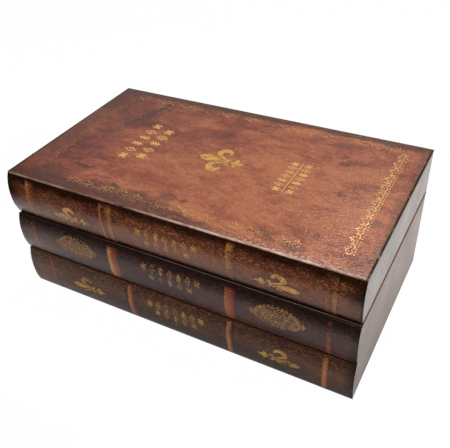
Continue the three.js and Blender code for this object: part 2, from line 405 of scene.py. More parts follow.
    def done(self, surface: Surface, metallic: Feed = 0.0, **constants: float | tuple) -> bpy.types.Material:
        """Closes the material with its shader.

        Args:
            surface: Its colour, roughness, normal and gloss.
            metallic: How metallic it is.
            **constants: Other inputs of the shader, with underscores for the spaces in their names.

        Returns:
            The material.
        """
        shader = self.node("ShaderNodeBsdfPrincipled")
        self.feed(shader.inputs["Base Color"], surface.colour)
        self.feed(shader.inputs["Roughness"], surface.roughness)
        self.feed(shader.inputs["Normal"], surface.normal)
        self.feed(shader.inputs["Specular IOR Level"], surface.gloss)
        self.feed(shader.inputs["Metallic"], metallic)
        for key, value in constants.items():
            shader.inputs[key.replace("_", " ")].default_value = value
        output = self.node("ShaderNodeOutputMaterial")
        self.feed(output.inputs["Surface"], shader.outputs[0])
        return self.material


@dataclass(frozen=True)
class LeatherFinish:
    """Leatherette with a printed mottle, edges darkened partly by burnishing and partly by painted shade, an
    embossed pebble grain and painted shade in the grain's wells.
    """

    name: str
    deep: Shade
    middle: Shade
    warm: Shade
    # The dark colour of burnishing, also used for painted shade in the grain's wells and under the cover's
    # fold.
    dark_burnish_and_shade: Shade
    roughness: float = 0.21
    grain_size: float = 1.55
    grain_depth: float = 0.16
    # How dark the grain's wells are painted, as shade in its hollows.
    wells: float = 0.4
    shine: float = 0.5
    half_length: float = 150.3
    frayed_width: float = 2.2
    frayed_dark: Shade = (24, 21, 15)
    frayed_backing: Shade = (132, 114, 62)
    fibre_size: float = 8.0
    cloud_size: float = 58.0
    streak_size: float = 12.0
    fleck_size: float = 2.6
    patch_size: float = 25.0
    burn_and_shade_strength: float = 0.92

    def from_ends(self, bench: Bench) -> Socket:
        """Gives the distance to the nearer end of the box, in millimetres."""
        return bench.minus(self.half_length, bench.math("ABSOLUTE", bench.x))

    def burnish_and_shade(self, bench: Bench) -> Socket:
        """Says how far the leather is darkened, from 0 to 1. Plain leather is darkened in patches."""
        return bench.remap(bench.noise(self.patch_size, detail=5, roughness=0.6), 0.5, 0.75, 0.0, 0.5)

    def burn_and_shade_colour(self, bench: Bench) -> Feed:
        """Gives the colour of the darkened parts, which is one shade on plain leather."""
        return linear(self.dark_burnish_and_shade)

    def lightened(self, bench: Bench) -> Feed:
        """Says how much the print's tone is raised. Plain leather's is left as it is."""
        return 0.0

    def well_share(self, bench: Bench) -> Feed:
        """Says how dark the grain's wells are painted as shade, from 0 to 1."""
        return self.wells

    def gloss(self, bench: Bench) -> Feed:
        """Says how glossy the leather is. Plain leather is even."""
        return self.shine

    def surface(self, bench: Bench) -> Surface:
        """Lays out the leather's nodes.

        Args:
            bench: The material that they go into.

        Returns:
            The leather's colour, roughness, normal, gloss and wells.
        """
        along = (1.7, 1.0, 1.0)
        clouds = bench.noise(self.cloud_size, detail=4, roughness=0.62, distortion=0.5, stretch=along)
        streaks = bench.noise(
            self.streak_size, detail=8, roughness=0.7, distortion=0.6, stretch=along, offset=0.3
        )
        flecks = bench.noise(self.fleck_size, detail=2, roughness=0.6, stretch=(1.4, 1, 1), offset=0.7)
        tone = bench.total((0.47, clouds), (0.38, streaks), (0.15, flecks))
        tone = bench.plus(tone, self.lightened(bench))
        colour = bench.stops(tone, (0.39, self.deep), (0.49, self.middle), (0.59, self.warm))
        # Darkening, partly burnishing and partly painted shade, as each finish lays it out.
        burnt_and_shaded = bench.product(self.burnish_and_shade(bench), self.burn_and_shade_strength)
        colour = bench.mix(burnt_and_shaded, colour, self.burn_and_shade_colour(bench))

        edge = bench.cells(self.grain_size, self.grain_size * 0.8, (2.0, 1.0, 1.0))
        pebble = bench.remap(edge, 0.0, 0.4)
        wrinkle = bench.noise(
            self.grain_size * 0.9, detail=1, distortion=0.5, stretch=(2.4, 1.0, 1.0), offset=1.3
        )
        height = bench.total((0.3, pebble), (1.3, wrinkle))
        # Painted shade: the grain's wells are darkened towards the dark colour.
        well = bench.product(bench.remap(height, 1.0, 0.74), self.well_share(bench))
        colour = bench.mix(well, colour, linear(self.dark_burnish_and_shade))
        colour = self.frayed(bench, colour)
        normal = bench.bump(height, self.grain_depth)
        uneven = bench.total((0.1, flecks), (0.1, streaks))
        roughness = bench.plus(uneven, self.roughness - 0.1)
        return Surface(colour, roughness, normal, self.gloss(bench), well)

    def frayed(self, bench: Bench, colour: Socket) -> Socket:
        """Darkens the leather's worn ends, where the backing shows in places.

        Args:
            bench: The material.
            colour: The colour of the leather.

        Returns:
            The colour with the ends worn.
        """
        fibres = bench.noise(self.fibre_size, detail=5, roughness=0.7, distortion=0.3, offset=0.17)
        ragged = bench.math("MULTIPLY_ADD", fibres, -1.6, bench.plus(self.from_ends(bench), 0.8))
        near = bench.remap(ragged, self.frayed_width * 0.4, self.frayed_width, 0.9, 0.0)
        worn = bench.stops(fibres, (0.56, self.frayed_dark), (0.7, self.frayed_backing))
        return bench.mix(near, colour, worn)

    def build(self) -> bpy.types.Material:
        """Makes the material."""
        bench = Bench(self.name)
        return bench.done(self.surface(bench))


@dataclass(frozen=True)
class Smudge:
    """A dark mark printed on the cover: its place, its length along its own run, its width and its turn."""

    x: float
    y: float
    length: float
    width: float
    turn: float = 0.0
    strength: float = 0.8


@dataclass(frozen=True)
class CoverLeather(LeatherFinish):
    """The lid's cover: darkened round the edges of the top, along the fold, towards the spine's ends and
    along its foot; under the fold the darkening is partly painted shade, along the foot painted shade.
    """

    fold: float = -84.0
    back: float = 84.0
    top: float = 117.6
    foot: float = 77.4
    turn_down: tuple[float, float] = (0.5, 1.6)
    # The pale colour of the fold's line, partly rubbing and partly painted highlight, and of the painted
    # glints beside it.
    painted_highlight: Shade = (224, 192, 174)
    top_burnish: Shade = (78, 50, 42)
    smudges: tuple[Smudge, ...] = ()

    def below_top(self, bench: Bench) -> Socket:
        """Gives the distance below the top, in millimetres."""
        return bench.minus(self.top, bench.z)

    def turned(self, bench: Bench, on_top: float = 0.0, on_spine: float = 1.0) -> Socket:
        """Gives one value on the top and another on the spine, eased over the fold."""
        return bench.remap(self.below_top(bench), *self.turn_down, on_top, on_spine)

    def burn_and_shade_colour(self, bench: Bench) -> Feed:
        """Gives the colour of the darkened parts, which is paler on the top than on the spine, whose
        near-black is partly painted shade.
        """
        return bench.mix(self.turned(bench), linear(self.top_burnish), linear(self.dark_burnish_and_shade))

    def well_share(self, bench: Bench) -> Feed:
        """Says how dark the grain's wells are painted as shade: darkest under the fold."""
        on_spine = bench.remap(bench.z, 96, 106, self.wells, 0.72)
        return bench.mix_value(self.turned(bench, 1.0, 0.0), on_spine, 0.3)

    def gloss(self, bench: Bench) -> Feed:
        """Says how glossy the cover is: handling has dulled the upper part of the spine, and its foot.

        Args:
            bench: The material.

        Returns:
            The gloss.
        """
        risen = bench.plus(bench.z, bench.remap(bench.x, -130, -70, 5.0, 0.0))
        above = bench.remap(risen, 96, 105, 1.0, 0.12)
        below = bench.remap(bench.z, 80, 85, bench.remap(bench.x, -130, -60, 1.1, 0.15), 1.0)
        to_left = bench.remap(bench.z, 84, 91, bench.remap(bench.x, -130, -70, 2.2, 1.0), 1.0)
        on_spine = bench.product(bench.least(above, below), to_left)
        on_top = bench.remap(self.below_top(bench), 0.8, 2.0, 1.0, 0.0)
        on_top = bench.product(on_top, bench.remap(bench.x, 122, 140, 1.0, 0.7))
        return bench.product(bench.most(on_spine, on_top), self.shine)

    def lightened(self, bench: Bench) -> Feed:
        """Says how much the print's tone is raised: paler on the spine, as painted light where the light
        grazes it, darker to the left, partly print and partly painted shade, and darker at the back.

        Args:
            bench: The material.

        Returns:
            The rise, below 0 where the tone is lowered.
        """
        # Darker to the left: partly print, partly painted shade.
        across = bench.remap(bench.x, -130, 60, -0.05, 0.07)
        # Paler on the spine: painted light where the light grazes it.
        on_spine = self.turned(bench, 0.0, 0.07)
        low_right = bench.product(bench.remap(bench.z, 92, 102, -0.09, 0.0), bench.remap(bench.x, -20, 40))
        back = bench.remap(bench.y, 10, 75, 0.0, -0.045)
        return bench.plus(across, on_spine, low_right, back)

    def burnish_and_shade(self, bench: Bench) -> Socket:
        """Says how far the cover is darkened, from 0 to 1."""
        return bench.mix_value(self.turned(bench), self.burnished_top(bench), self.spine_burnish_and_shade(bench))

    def burnished_top(self, bench: Bench) -> Socket:
        """Says how far the top is darkened: along its four edges, and in the smudges.

        Args:
            bench: The material.

        Returns:
            The darkness, from 0 to 1.
        """
        fine = bench.noise(24, detail=10, roughness=0.72, distortion=0.5, stretch=(1.5, 1, 1))
        ragged = bench.minus(bench.total((2.6, fine), (1.4, bench.noise(75, detail=2))), 2.0)
        front_right = bench.remap(bench.x, -20, 60, 1 / 19, 1 / 5)
        front_reach = bench.most(front_right, bench.remap(bench.x, -100, -50, 1 / 13, 0))
        front_share = bench.remap(bench.x, 15, 85, 1.0, 0.25)
        edges = (
            (bench.plus(bench.x, self.half_length), 1 / 22, 0.55, (0.2, 1.6)),
            (bench.minus(self.half_length, bench.x), 1 / 6, 0.65, (0.3, 1.5)),
            (bench.minus(bench.y, self.fold), front_reach, front_share, (0.8, 1.15)),
            (bench.minus(self.back, bench.y), 1 / 9, 1.0, (0.75, 1.15)),
        )
        shares = []
        for distance, reach, strength, (start, stop) in edges:
            nearness = bench.math("MULTIPLY_ADD", distance, reach, ragged)
            shares.append(bench.product(bench.remap(nearness, start, stop, 1.0, 0.0), strength))
        specks = bench.noise(3.6, detail=7, roughness=0.75, distortion=0.5, stretch=(1.5, 1, 1), offset=0.65)
        dark = bench.product(bench.most(*shares), bench.remap(specks, 0.36, 0.56, 0.62, 1.0))
        frays = bench.noise(5, detail=6, roughness=0.7, distortion=0.5, stretch=(1.6, 1, 1), offset=0.35)
        return bench.most(dark, *(self.marked(bench, smudge, frays) for smudge in self.smudges))

    def spine_burnish_and_shade(self, bench: Bench) -> Socket:
        """Says how far the spine is darkened: under the fold, partly print and partly painted shade, towards
        its ends, and along its foot, which is painted shade.

        Args:
            bench: The material.

        Returns:
            The darkness, from 0 to 1.
        """
        # Under the fold: partly printed darkening, partly painted shade.
        shade = bench.noise(22, detail=8, roughness=0.68, distortion=0.4, stretch=(1.5, 1, 1), offset=0.5)
        shade = bench.math("MULTIPLY_ADD", shade, -14.0, self.below_top(bench))
        under_fold = bench.remap(shade, -3.5, 4.0, 1.0, 0.0)
        ends = bench.noise(16, detail=6, roughness=0.6, offset=0.9)
        ends = bench.math("MULTIPLY_ADD", ends, -16.0, self.from_ends(bench))
        at_ends = bench.remap(ends, -6.0, 12.0, 0.95, 0.0)
        at_ends = bench.product(at_ends, bench.remap(bench.z, 90, 104, 0.45, 1.0))
        # Painted shade along the foot, which turns under, none towards the left end.
        at_foot = bench.remap(bench.minus(bench.z, self.foot), 2.5, 8.0, 1.0, 0.0)
        at_foot = bench.product(at_foot, bench.remap(bench.x, -112, -50, 0.0, 1.0))
        return bench.most(under_fold, at_ends, at_foot)

    def marked(self, bench: Bench, smudge: Smudge, frays: Socket) -> Socket:
        """Gives the darkness of one smudge.

        Args:
            bench: The material.
            smudge: The mark's place and size.
            frays: The noise that frays its edge.

        Returns:
            Its darkness, from 0 to 1.
        """
        turn = math.radians(smudge.turn)
        cos, sin = math.cos(turn), math.sin(turn)
        across_x = bench.minus(bench.x, smudge.x)
        across_y = bench.minus(bench.y, smudge.y)
        run = bench.total((cos / smudge.length, across_x), (sin / smudge.length, across_y))
        side = bench.total((-sin / smudge.width, across_x), (cos / smudge.width, across_y))
        reach = bench.plus(bench.product(run, run), bench.product(side, side))
        frayed = bench.math("MULTIPLY_ADD", frays, 3.0, reach)
        return bench.remap(frayed, 1.7, 2.1, smudge.strength, 0.0)

    def surface(self, bench: Bench) -> Surface:
        """Lays out the leather's nodes, paints the fold pale, partly as wear from rubbing and partly as a
        painted highlight, and paints glints on the top beside it.

        Args:
            bench: The material that they go into.

        Returns:
            The leather's colour, roughness, normal, gloss and wells.
        """
        plain = super().surface(bench)
        down = self.below_top(bench)
        # The fold's pale line, stronger to the right: partly wear from rubbing, partly painted highlight.
        band = bench.product(bench.remap(down, 0.0, 0.15), bench.remap(down, 0.9, 1.6, 1.0, 0.0))
        front = bench.math("LESS_THAN", bench.y, self.fold + 3)
        worn = bench.remap(bench.noise(7, detail=6, roughness=0.7, stretch=(3, 1, 1), offset=0.8), 0.3, 0.6)
        reach = bench.remap(bench.x, -60, 90, 0.28, 0.85)
        reach = bench.least(reach, bench.remap(bench.x, 115, 140, 1.0, 0.5))
        rubbed = bench.product(band, front, worn, reach)
        # Painted glints: pale specks on the top beside the fold, towards the right.
        specks = bench.noise(1.1, detail=2, roughness=0.6, distortion=0.3, stretch=(2, 1, 1), offset=0.9)
        along_fold = bench.least(bench.remap(bench.x, 0, 100), bench.remap(bench.x, 118, 136, 1.0, 0.15))
        near_fold = bench.remap(bench.y, -83.5, -74, 0.46, 0.0)
        on_top = bench.remap(down, 0.6, 0.2)
        painted_glints = bench.product(bench.remap(specks, 0.5, 0.62), near_fold, along_fold, on_top)
        colour = bench.mix(bench.most(rubbed, painted_glints), plain.colour, linear(self.painted_highlight))
        return replace(plain, colour=colour)


@dataclass(frozen=True)
class SpineLeather(LeatherFinish):
    """The skin of one spine: darkened along its top and bottom edge and towards its ends."""

    bottom: float = 0.0
    top: float = 40.0
    top_reach: float = 9.0
    bottom_reach: float = 4.0
    dulled_above: tuple[float, float] = (62.0, 72.0)
    least_shine: float = 0.45
    least_wells: float = 0.2
    foot_shine: tuple[float, float] = (1.0, 1.0)
    foot_reach: float = 22.0
    end_reach: float = 7.0
    # tone_left raises the print high up to the left as a painted reflection, and tone_join just above the
    # foot as painted light in the join.
    tone_left: float = 0.0
    tone_foot: float = -0.09
    tone_join: float = 0.0

    def lightened(self, bench: Bench) -> Feed:
        """Says how much the print's tone is raised: high up to the left, as a painted reflection, and just
        above the foot, as painted light against the shade of the join.

        Args:
            bench: The material.

        Returns:
            The rise, below 0 where the tone is lowered, which is low down to the right.
        """
        # Painted reflection high up to the left.
        to_left = bench.remap(bench.x, -20, 40, self.tone_left, 0.0)
        above = bench.remap(bench.z, self.bottom + 14, self.bottom + 30, 0.2, 1.0)
        to_right = bench.remap(bench.x, -100, -50, 0.0, self.tone_foot)
        low = bench.remap(bench.z, self.bottom + 13, self.bottom + 27, 1.0, 0.0)
        # Painted light against the shade of the join.
        at_join = bench.remap(bench.z, self.bottom + 2, self.bottom + 4.5, self.tone_join, 0.0)
        return bench.plus(bench.product(to_right, low), bench.product(to_left, above), at_join)

    def burnish_and_shade(self, bench: Bench) -> Socket:
        """Says how far the spine is darkened: along its top and bottom edge, and towards its ends.

        Args:
            bench: The material.

        Returns:
            The darkness, from 0 to 1.
        """
        layer = self.top * MM
        ragged = bench.noise(20, detail=8, roughness=0.66, distortion=0.4, stretch=(1.6, 1, 1), offset=layer)
        ragged = bench.product(bench.minus(ragged, 0.5), 2.4)
        above = bench.product(bench.minus(self.top, bench.z), 1 / self.top_reach)
        below = bench.product(bench.minus(bench.z, self.bottom), 1 / self.bottom_reach)
        ends = bench.product(self.from_ends(bench), 1 / self.end_reach)
        nearest = bench.plus(bench.least(above, below, ends), ragged)
        return bench.remap(nearest, 0.0, 1.25, 1.0, 0.0)

    def well_share(self, bench: Bench) -> Feed:
        """Says how dark the grain's wells are painted as shade: darkest on the upper part of the spine."""
        low, high = self.dulled_above
        return bench.remap(bench.z, low - 10, high, self.least_wells, self.wells)

    def gloss(self, bench: Bench) -> Feed:
        """Says how glossy the spine is: handling has dulled its upper part, and its foot more to one end.

        Args:
            bench: The material.

        Returns:
            The gloss.
        """
        least = bench.remap(bench.x, -120, 0, self.least_shine * 1.7, self.least_shine)
        above = bench.remap(bench.z, *self.dulled_above, 1.0, least)
        foot = bench.remap(bench.x, -110, 30, *self.foot_shine)
        risen = bench.remap(bench.z, self.bottom + 2, self.bottom + self.foot_reach)
        return bench.product(above, bench.mix_value(risen, foot, 1.0), self.shine)


@dataclass(frozen=True)
class RimLeather(LeatherFinish):
    """The leather over the walls' edges: nearly black along the front at the seam, a painted shadow, and a
    pale painted highlight line along the front edge.
    """

    front: float = -80.0
    highlight_line: tuple[float, float] = (-84.0, -83.6)
    soft_edge: float = 0.2
    painted_highlight: Shade = (124, 108, 96)

    def lightened(self, bench: Bench) -> Feed:
        """Says how much the print's tone is raised: paler at the box's ends, as painted light against the
        shade of the seam.
        """
        return bench.remap(bench.math("ABSOLUTE", bench.x), 144, 147, 0.0, 0.2)

    def frayed(self, bench: Bench, colour: Socket) -> Socket:
        """Leaves the rim's ends as they are."""
        return colour

    def burnish_and_shade(self, bench: Bench) -> Socket:
        """Says how far the rim is darkened, from 0 to 1: in patches, and all along its front, where the
        darkening is a painted shadow under the lid's overhang.
        """
        # Painted shadow under the overhang of the lid's spine.
        at_front = bench.remap(bench.y, self.front - 3, self.front, 1.0, 0.0)
        return bench.most(super().burnish_and_shade(bench), at_front)

    def surface(self, bench: Bench) -> Surface:
        """Lays out the leather's nodes and paints a pale highlight line along the front.

        Args:
            bench: The material that they go into.

        Returns:
            The leather's colour, roughness, normal, gloss and wells.
        """
        plain = super().surface(bench)
        # Painted highlight: a pale line along the front edge, patchy and stronger to the right.
        outer, inner = self.highlight_line
        behind_outer = bench.remap(bench.y, outer - self.soft_edge, outer)
        before_inner = bench.remap(bench.y, inner, inner + self.soft_edge, 1.0, 0.0)
        patches = bench.noise(9, detail=5, roughness=0.6, stretch=(3, 1, 1), offset=0.8)
        worn = bench.remap(patches, 0.3, 0.6, 0.45, 1.0)
        to_right = bench.remap(bench.x, -110, 10, 0.1, 0.85)
        share = bench.product(behind_outer, before_inner, worn, to_right)
        return replace(plain, colour=bench.mix(share, plain.colour, linear(self.painted_highlight)))


@dataclass(frozen=True)
class GiltFinish:
    """Worn gold print: the leather shows wherever the gold has rubbed away."""

    name: str
    leather: LeatherFinish
    gold: Shade = (206, 160, 84)
    tarnish: Shade = (150, 102, 52)
    worn: float = 0.3
    patchy: float = 0.0
    fade: tuple[float, float] | None = None
    metal: float = 0.35

    def rubbed(self, bench: Bench) -> Socket:
        """Says where the gold is left. It fades out downwards between the two heights of fade.

        Args:
            bench: The material.

        Returns:
            Its share, from 0, bare leather, to 1, whole.
        """
        specks = bench.noise(1.1, detail=2, roughness=0.6, offset=0.21)
        patches = bench.noise(19, detail=5, roughness=0.62, distortion=0.3, offset=0.43)
        level = bench.total((0.55, specks), (0.45 + self.patchy, patches))
        level = bench.minus(level, self.patchy * 0.5)
        if self.fade is not None:
            level = bench.minus(level, bench.remap(bench.z, *self.fade, 0.2, 0.0))
        threshold = 0.3 + 0.4 * self.worn
        return bench.remap(level, threshold - 0.05, threshold + 0.07)

    def build(self) -> bpy.types.Material:
        """Makes the material.

        Returns:
            The material.
        """
        bench = Bench(self.name)
        under = self.leather.surface(bench)
        left = self.rubbed(bench)
        grime = bench.noise(3.2, detail=4, roughness=0.7, distortion=0.3, offset=0.11)
        gold = bench.stops(grime, (0.32, self.tarnish), (0.56, self.gold))
        colour = bench.mix(left, under.colour, gold)
        return bench.done(replace(under, colour=colour), metallic=bench.product(left, self.metal))


@dataclass(frozen=True)
class BandPlan:
    """A band: its place and width, its shades from left to right, and how strong and worn its print is.

    soft is how much of its width fades out to the right, and upper and lower are the print's strength at
    its upper and at its lower end.
    """

    x: float
    width: float
    shades: tuple[tuple[float, Shade], ...]
    strength: float
    worn: float
    soft: float
    upper: float = 1.0
    lower: float = 1.0


@dataclass(frozen=True)
class BandFinish:
    """A printed band across a spine: worn shades from its left edge to its right one."""

    name: str
    leather: LeatherFinish
    plan: BandPlan
    soft_left: float = 0.1
    offset: float = 0.0

    def build(self) -> bpy.types.Material:
        """Makes the material.

        Returns:
            The material.
        """
        bench, plan = Bench(self.name), self.plan
        under = self.leather.surface(bench)
        axes = bench.node("ShaderNodeSeparateXYZ")
        bench.feed(axes.inputs[0], bench.node("ShaderNodeUVMap", uv_map="band").outputs[0])
        across, up = axes.outputs[0], axes.outputs[1]
        wander = bench.noise(14, detail=5, roughness=0.6, offset=self.offset)
        across = bench.plus(across, bench.math("MULTIPLY_ADD", wander, 0.3, -0.15))
        printed = bench.stops(across, *plan.shades)
        left = bench.remap(across, 0.0, self.soft_left)
        right = bench.remap(across, 1 - plan.soft, 1.0, 1.0, 0.0)
        ends = bench.product(bench.remap(up, 0.0, 0.14), bench.remap(up, 0.88, 1.0, 1.0, 0.0))
        height = bench.remap(up, 0.2, 0.8, plan.lower, plan.upper)
        patches = bench.noise(7, detail=6, roughness=0.7, distortion=0.4, offset=self.offset + 0.2)
        specks = bench.noise(1.6, detail=3, roughness=0.7, offset=self.offset + 0.4)
        level = bench.total((0.35, specks), (0.65, patches))
        threshold = 0.32 + 0.3 * plan.worn
        left_over = bench.remap(level, threshold - 0.08, threshold + 0.1)
        share = bench.product(left_over, left, right, ends, height, plan.strength)
        colour = bench.mix(share, under.colour, printed)
        # Painted shade: the grain's wells darken the band's print too.
        colour = bench.mix(bench.product(under.wells, 0.7), colour, linear(self.leather.dark_burnish_and_shade))
        return bench.done(replace(under, colour=colour))


@dataclass(frozen=True)
class CutEdgeFinish:
    """The raw cut edge of the leatherette: dark, with the pale backing showing in places."""

    name: str = "leather_cut_edge"
    dark: Shade = (30, 24, 20)
    backing: Shade = (120, 106, 66)

    def build(self) -> bpy.types.Material:
        """Makes the material.

        Returns:
            The material.
        """
        bench = Bench(self.name)
        fibres = bench.noise(3.5, detail=5, roughness=0.7, distortion=0.3)
        colour = bench.stops(fibres, (0.42, self.dark), (0.68, self.backing))
        return bench.done(Surface(colour, bench.remap(fibres, 0.2, 0.8, 0.6, 0.85), bench.bump(fibres, 0.2)))


@dataclass(frozen=True)
class PaperFinish:
    """Matt grey-brown paper with fine fibres, marked by handling along its edges, darker towards the bottom
    and the front as painted shade, and dyed brown along the seam.
    """

    name: str
    pale: Shade
    grey: Shade
    # The colour of handling marks along the edges, also used for the painted shade towards the bottom and
    # front.
    soil_and_shade: Shade = (120, 104, 98)
    low: float = 0.0
    high: float = 40.0
    # How much painted shade darkens the paper towards the bottom and the front.
    dimmed: float = 0.0
    dye: Shade = (112, 62, 46)
    dyed_height: float = 1.6
    seam: float = 0.0

    def build(self) -> bpy.types.Material:
        """Makes the material.

        Returns:
            The material.
        """
        bench = Bench(self.name)
        fibres = bench.noise(1.7, detail=4, roughness=0.75)
        strands = bench.noise(2.0, detail=3, roughness=0.6, stretch=(1, 6, 1), offset=0.3)
        clouds = bench.noise(34, detail=4, roughness=0.6, offset=0.6)
        tone = bench.total((0.5, fibres), (0.2, strands), (0.3, clouds))
        colour = bench.stops(tone, (0.4, self.grey), (0.59, self.pale))
        below_high = bench.minus(self.high, bench.z)
        edge = bench.least(below_high, bench.minus(bench.z, self.low))
        edge = bench.math("MULTIPLY_ADD", clouds, -6.0, edge)
        # Painted shade: darker towards the bottom and the front.
        low = bench.math("MULTIPLY_ADD", bench.y, -0.35, below_high)
        dim = bench.remap(low, 0, self.high + 20, 0.0, self.dimmed)
        handling_and_shade = bench.most(bench.remap(edge, -3.4, 1.5, 0.45, 0.0), dim)
        colour = bench.mix(handling_and_shade, colour, linear(self.soil_and_shade))
        from_seam = bench.math("ABSOLUTE", bench.minus(bench.z, self.seam))
        dyed = bench.remap(from_seam, self.dyed_height * 0.7, self.dyed_height * 1.3, 0.95, 0.0)
        colour = bench.mix(dyed, colour, linear(self.dye))
        normal = bench.bump(bench.total((0.6, fibres), (0.4, strands)), 0.05)
        return bench.done(Surface(colour, bench.remap(tone, 0.3, 0.7, 0.68, 0.82), normal, gloss=0.3))


@dataclass(frozen=True)
class VelvetFinish:
    """Short-pile cloth: a nap brushed into light and dark patches, with a soft sheen."""

    name: str
    dark: Shade
    light: Shade
    sheen: float = 0.6
    pile_size: float = 0.45

    def build(self) -> bpy.types.Material:
        """Makes the material.

        Returns:
            The material.
        """
        bench = Bench(self.name)
        nap = bench.noise(28, detail=5, roughness=0.6, distortion=0.3)
        pile = bench.noise(self.pile_size, detail=2, roughness=0.7, offset=0.4)
        tone = bench.total((0.6, nap), (0.4, pile))
        colour = bench.stops(tone, (0.36, self.dark), (0.62, self.light))
        normal = bench.bump(pile, 0.35, bench.bump(nap, 0.8))
        return bench.done(
            Surface(colour, bench.remap(nap, 0.3, 0.7, 0.82, 0.95), normal, gloss=0.2),
            Sheen_Weight=self.sheen,
            Sheen_Roughness=0.4,
            Sheen_Tint=linear(self.light),
        )


@dataclass(frozen=True)
class FibreboardFinish:
    """Raw fibreboard: pressed fibres with darker flecks."""

    name: str = "fibreboard"
    pale: Shade = (178, 148, 108)
    dark: Shade = (122, 94, 62)

    def build(self) -> bpy.types.Material:
        """Makes the material.

        Returns:
            The material.
        """
        bench = Bench(self.name)
        fibres = bench.noise(1.4, detail=6, roughness=0.75, distortion=0.4)
        clouds = bench.noise(30, offset=0.5)
        tone = bench.total((0.7, fibres), (0.3, clouds))
        colour = bench.stops(tone, (0.36, self.dark), (0.6, self.pale))
        return bench.done(Surface(colour, bench.remap(fibres, 0.2, 0.8, 0.75, 0.9), bench.bump(fibres, 0.12)))


@dataclass(frozen=True)
class BrassFinish:
    """Antique brass: brushed, browned in patches and rubbed brighter in others."""

    name: str
    bright: Shade = (196, 154, 88)
    brown: Shade = (104, 74, 40)

    def build(self) -> bpy.types.Material:
        """Makes the material.

        Returns:
            The material.
        """
        bench = Bench(self.name)
        patina = bench.noise(7, detail=6, roughness=0.65, distortion=0.5)
        brushed = bench.noise(0.8, roughness=0.6, stretch=(14, 1, 1), offset=0.2)
        tone = bench.total((0.7, patina), (0.3, brushed))
        colour = bench.stops(tone, (0.38, self.brown), (0.6, self.bright))
        roughness = bench.remap(tone, 0.35, 0.65, 0.5, 0.26)
        return bench.done(Surface(colour, roughness, bench.bump(brushed, 0.03)), metallic=1.0)


@dataclass(frozen=True)
class FloorFinish:
    """A white studio floor, which shows as white to the camera and in gloss, and keeps soft shadows."""

    name: str = "studio_floor"
    shade: Shade = (238, 238, 238)
    glow: float = 0.985
    gloss_far: float = 0.62
    gloss_near: float = 0.4
    gloss_left: float = 0.85
    gloss_range: tuple[float, float] = (-140.0, -96.0)

    def build(self) -> bpy.types.Material:
        """Makes the material. In gloss the floor is dimmer close to the spines, where the box shades it.

        Returns:
            The material.
        """
        bench = Bench(self.name)
        rays = bench.node("ShaderNodeLightPath").outputs
        mirrored = bench.most(rays["Is Glossy Ray"], rays["Is Transmission Ray"])
        in_front = bench.remap(bench.y, *self.gloss_range, self.gloss_far, self.gloss_near)
        # Painted reflection: the floor shows brighter in gloss to the left of the box, and dark far to the
        # left.
        to_left = bench.remap(bench.x, -110, -230, self.gloss_near, self.gloss_left)
        to_left = bench.product(to_left, bench.remap(bench.y, -135, -100, 0.7, 1.0))
        far_left = bench.remap(bench.x, -310, -250, 0.1, 1.0)
        dimmed = bench.product(bench.most(in_front, to_left), far_left)
        glow = bench.total((self.glow, rays["Is Camera Ray"]), (1.0, mirrored))
        strength = bench.plus(rays["Is Camera Ray"], bench.product(mirrored, dimmed))
        paint = bench.node("ShaderNodeBsdfDiffuse")
        paint.inputs["Color"].default_value = linear(self.shade)
        white = bench.node("ShaderNodeEmission")
        bench.feed(white.inputs["Strength"], strength)
        blend = bench.node("ShaderNodeMixShader")
        bench.feed(blend.inputs[0], glow)
        bench.feed(blend.inputs[1], paint.outputs[0])
        bench.feed(blend.inputs[2], white.outputs[0])
        output = bench.node("ShaderNodeOutputMaterial")
        bench.feed(output.inputs["Surface"], blend.outputs[0])
        return bench.material


COVER = CoverLeather(
    "cover_leather",
    deep=(98, 50, 41),
    middle=(135, 72, 54),
    warm=(166, 101, 69),
    dark_burnish_and_shade=(26, 9, 5),
    grain_size=1.1,
    grain_depth=0.18,
    smudges=(
        Smudge(-96.5, 47, 48, 5.2, 69, 1.0),
        Smudge(-104, 27, 12, 5.4, 60, 1.0),
        Smudge(-88, 67, 10, 8, 40, 1.0),
        Smudge(-91, 43, 30, 2.6, 66, 0.7),
        Smudge(-99, -51, 8, 3.2, 5, 0.9),
        Smudge(-89.5, -50, 8, 3.6, 35, 0.9),
        Smudge(-11, -60, 12, 6.5, 5, 0.65),
        Smudge(3, -61, 5, 3.6, 40, 0.65),
        Smudge(94, 36, 10, 7, 40, 0.65),
        Smudge(104, 39, 10, 5, 10, 0.55),
        Smudge(90, 44, 6, 4, 30, 0.6),
        Smudge(104, -5, 6, 5, 0, 0.5),
        Smudge(57, -23, 8, 5, 0, 0.3),
        Smudge(0, 58.5, 12, 5, 10, 0.5),
        Smudge(11, 41, 8, 3.5, 10, 0.45),
        Smudge(-4, 28.5, 7, 3, 10, 0.5),
        Smudge(1, 20, 5, 3, 40, 0.5),
        Smudge(86, 62, 22, 6, 10, 0.5),
        Smudge(-112, 5, 16, 8, 30, 0.5),
        Smudge(-104, 15, 24, 5, 25, 0.5),
        Smudge(72, -70, 16, 8, -10, 0.6),
        Smudge(97, -75, 18, 7, -5, 0.6),
        Smudge(-120, -68, 26, 15, 10, 0.75),
        Smudge(-42, -76, 16, 6, 0, 0.45),
        Smudge(28, -78, 15, 4.5, -5, 0.5),
        Smudge(50, -75, 10, 4, 5, 0.4),
        Smudge(138, -29, 7, 7, 0, 0.5),
        Smudge(133, -9, 9, 5, 0, 0.4),
        Smudge(143, -76, 17, 13, -5, 0.45),
    ),
)
LID_SPINE_LEATHER = replace(COVER, smudges=())
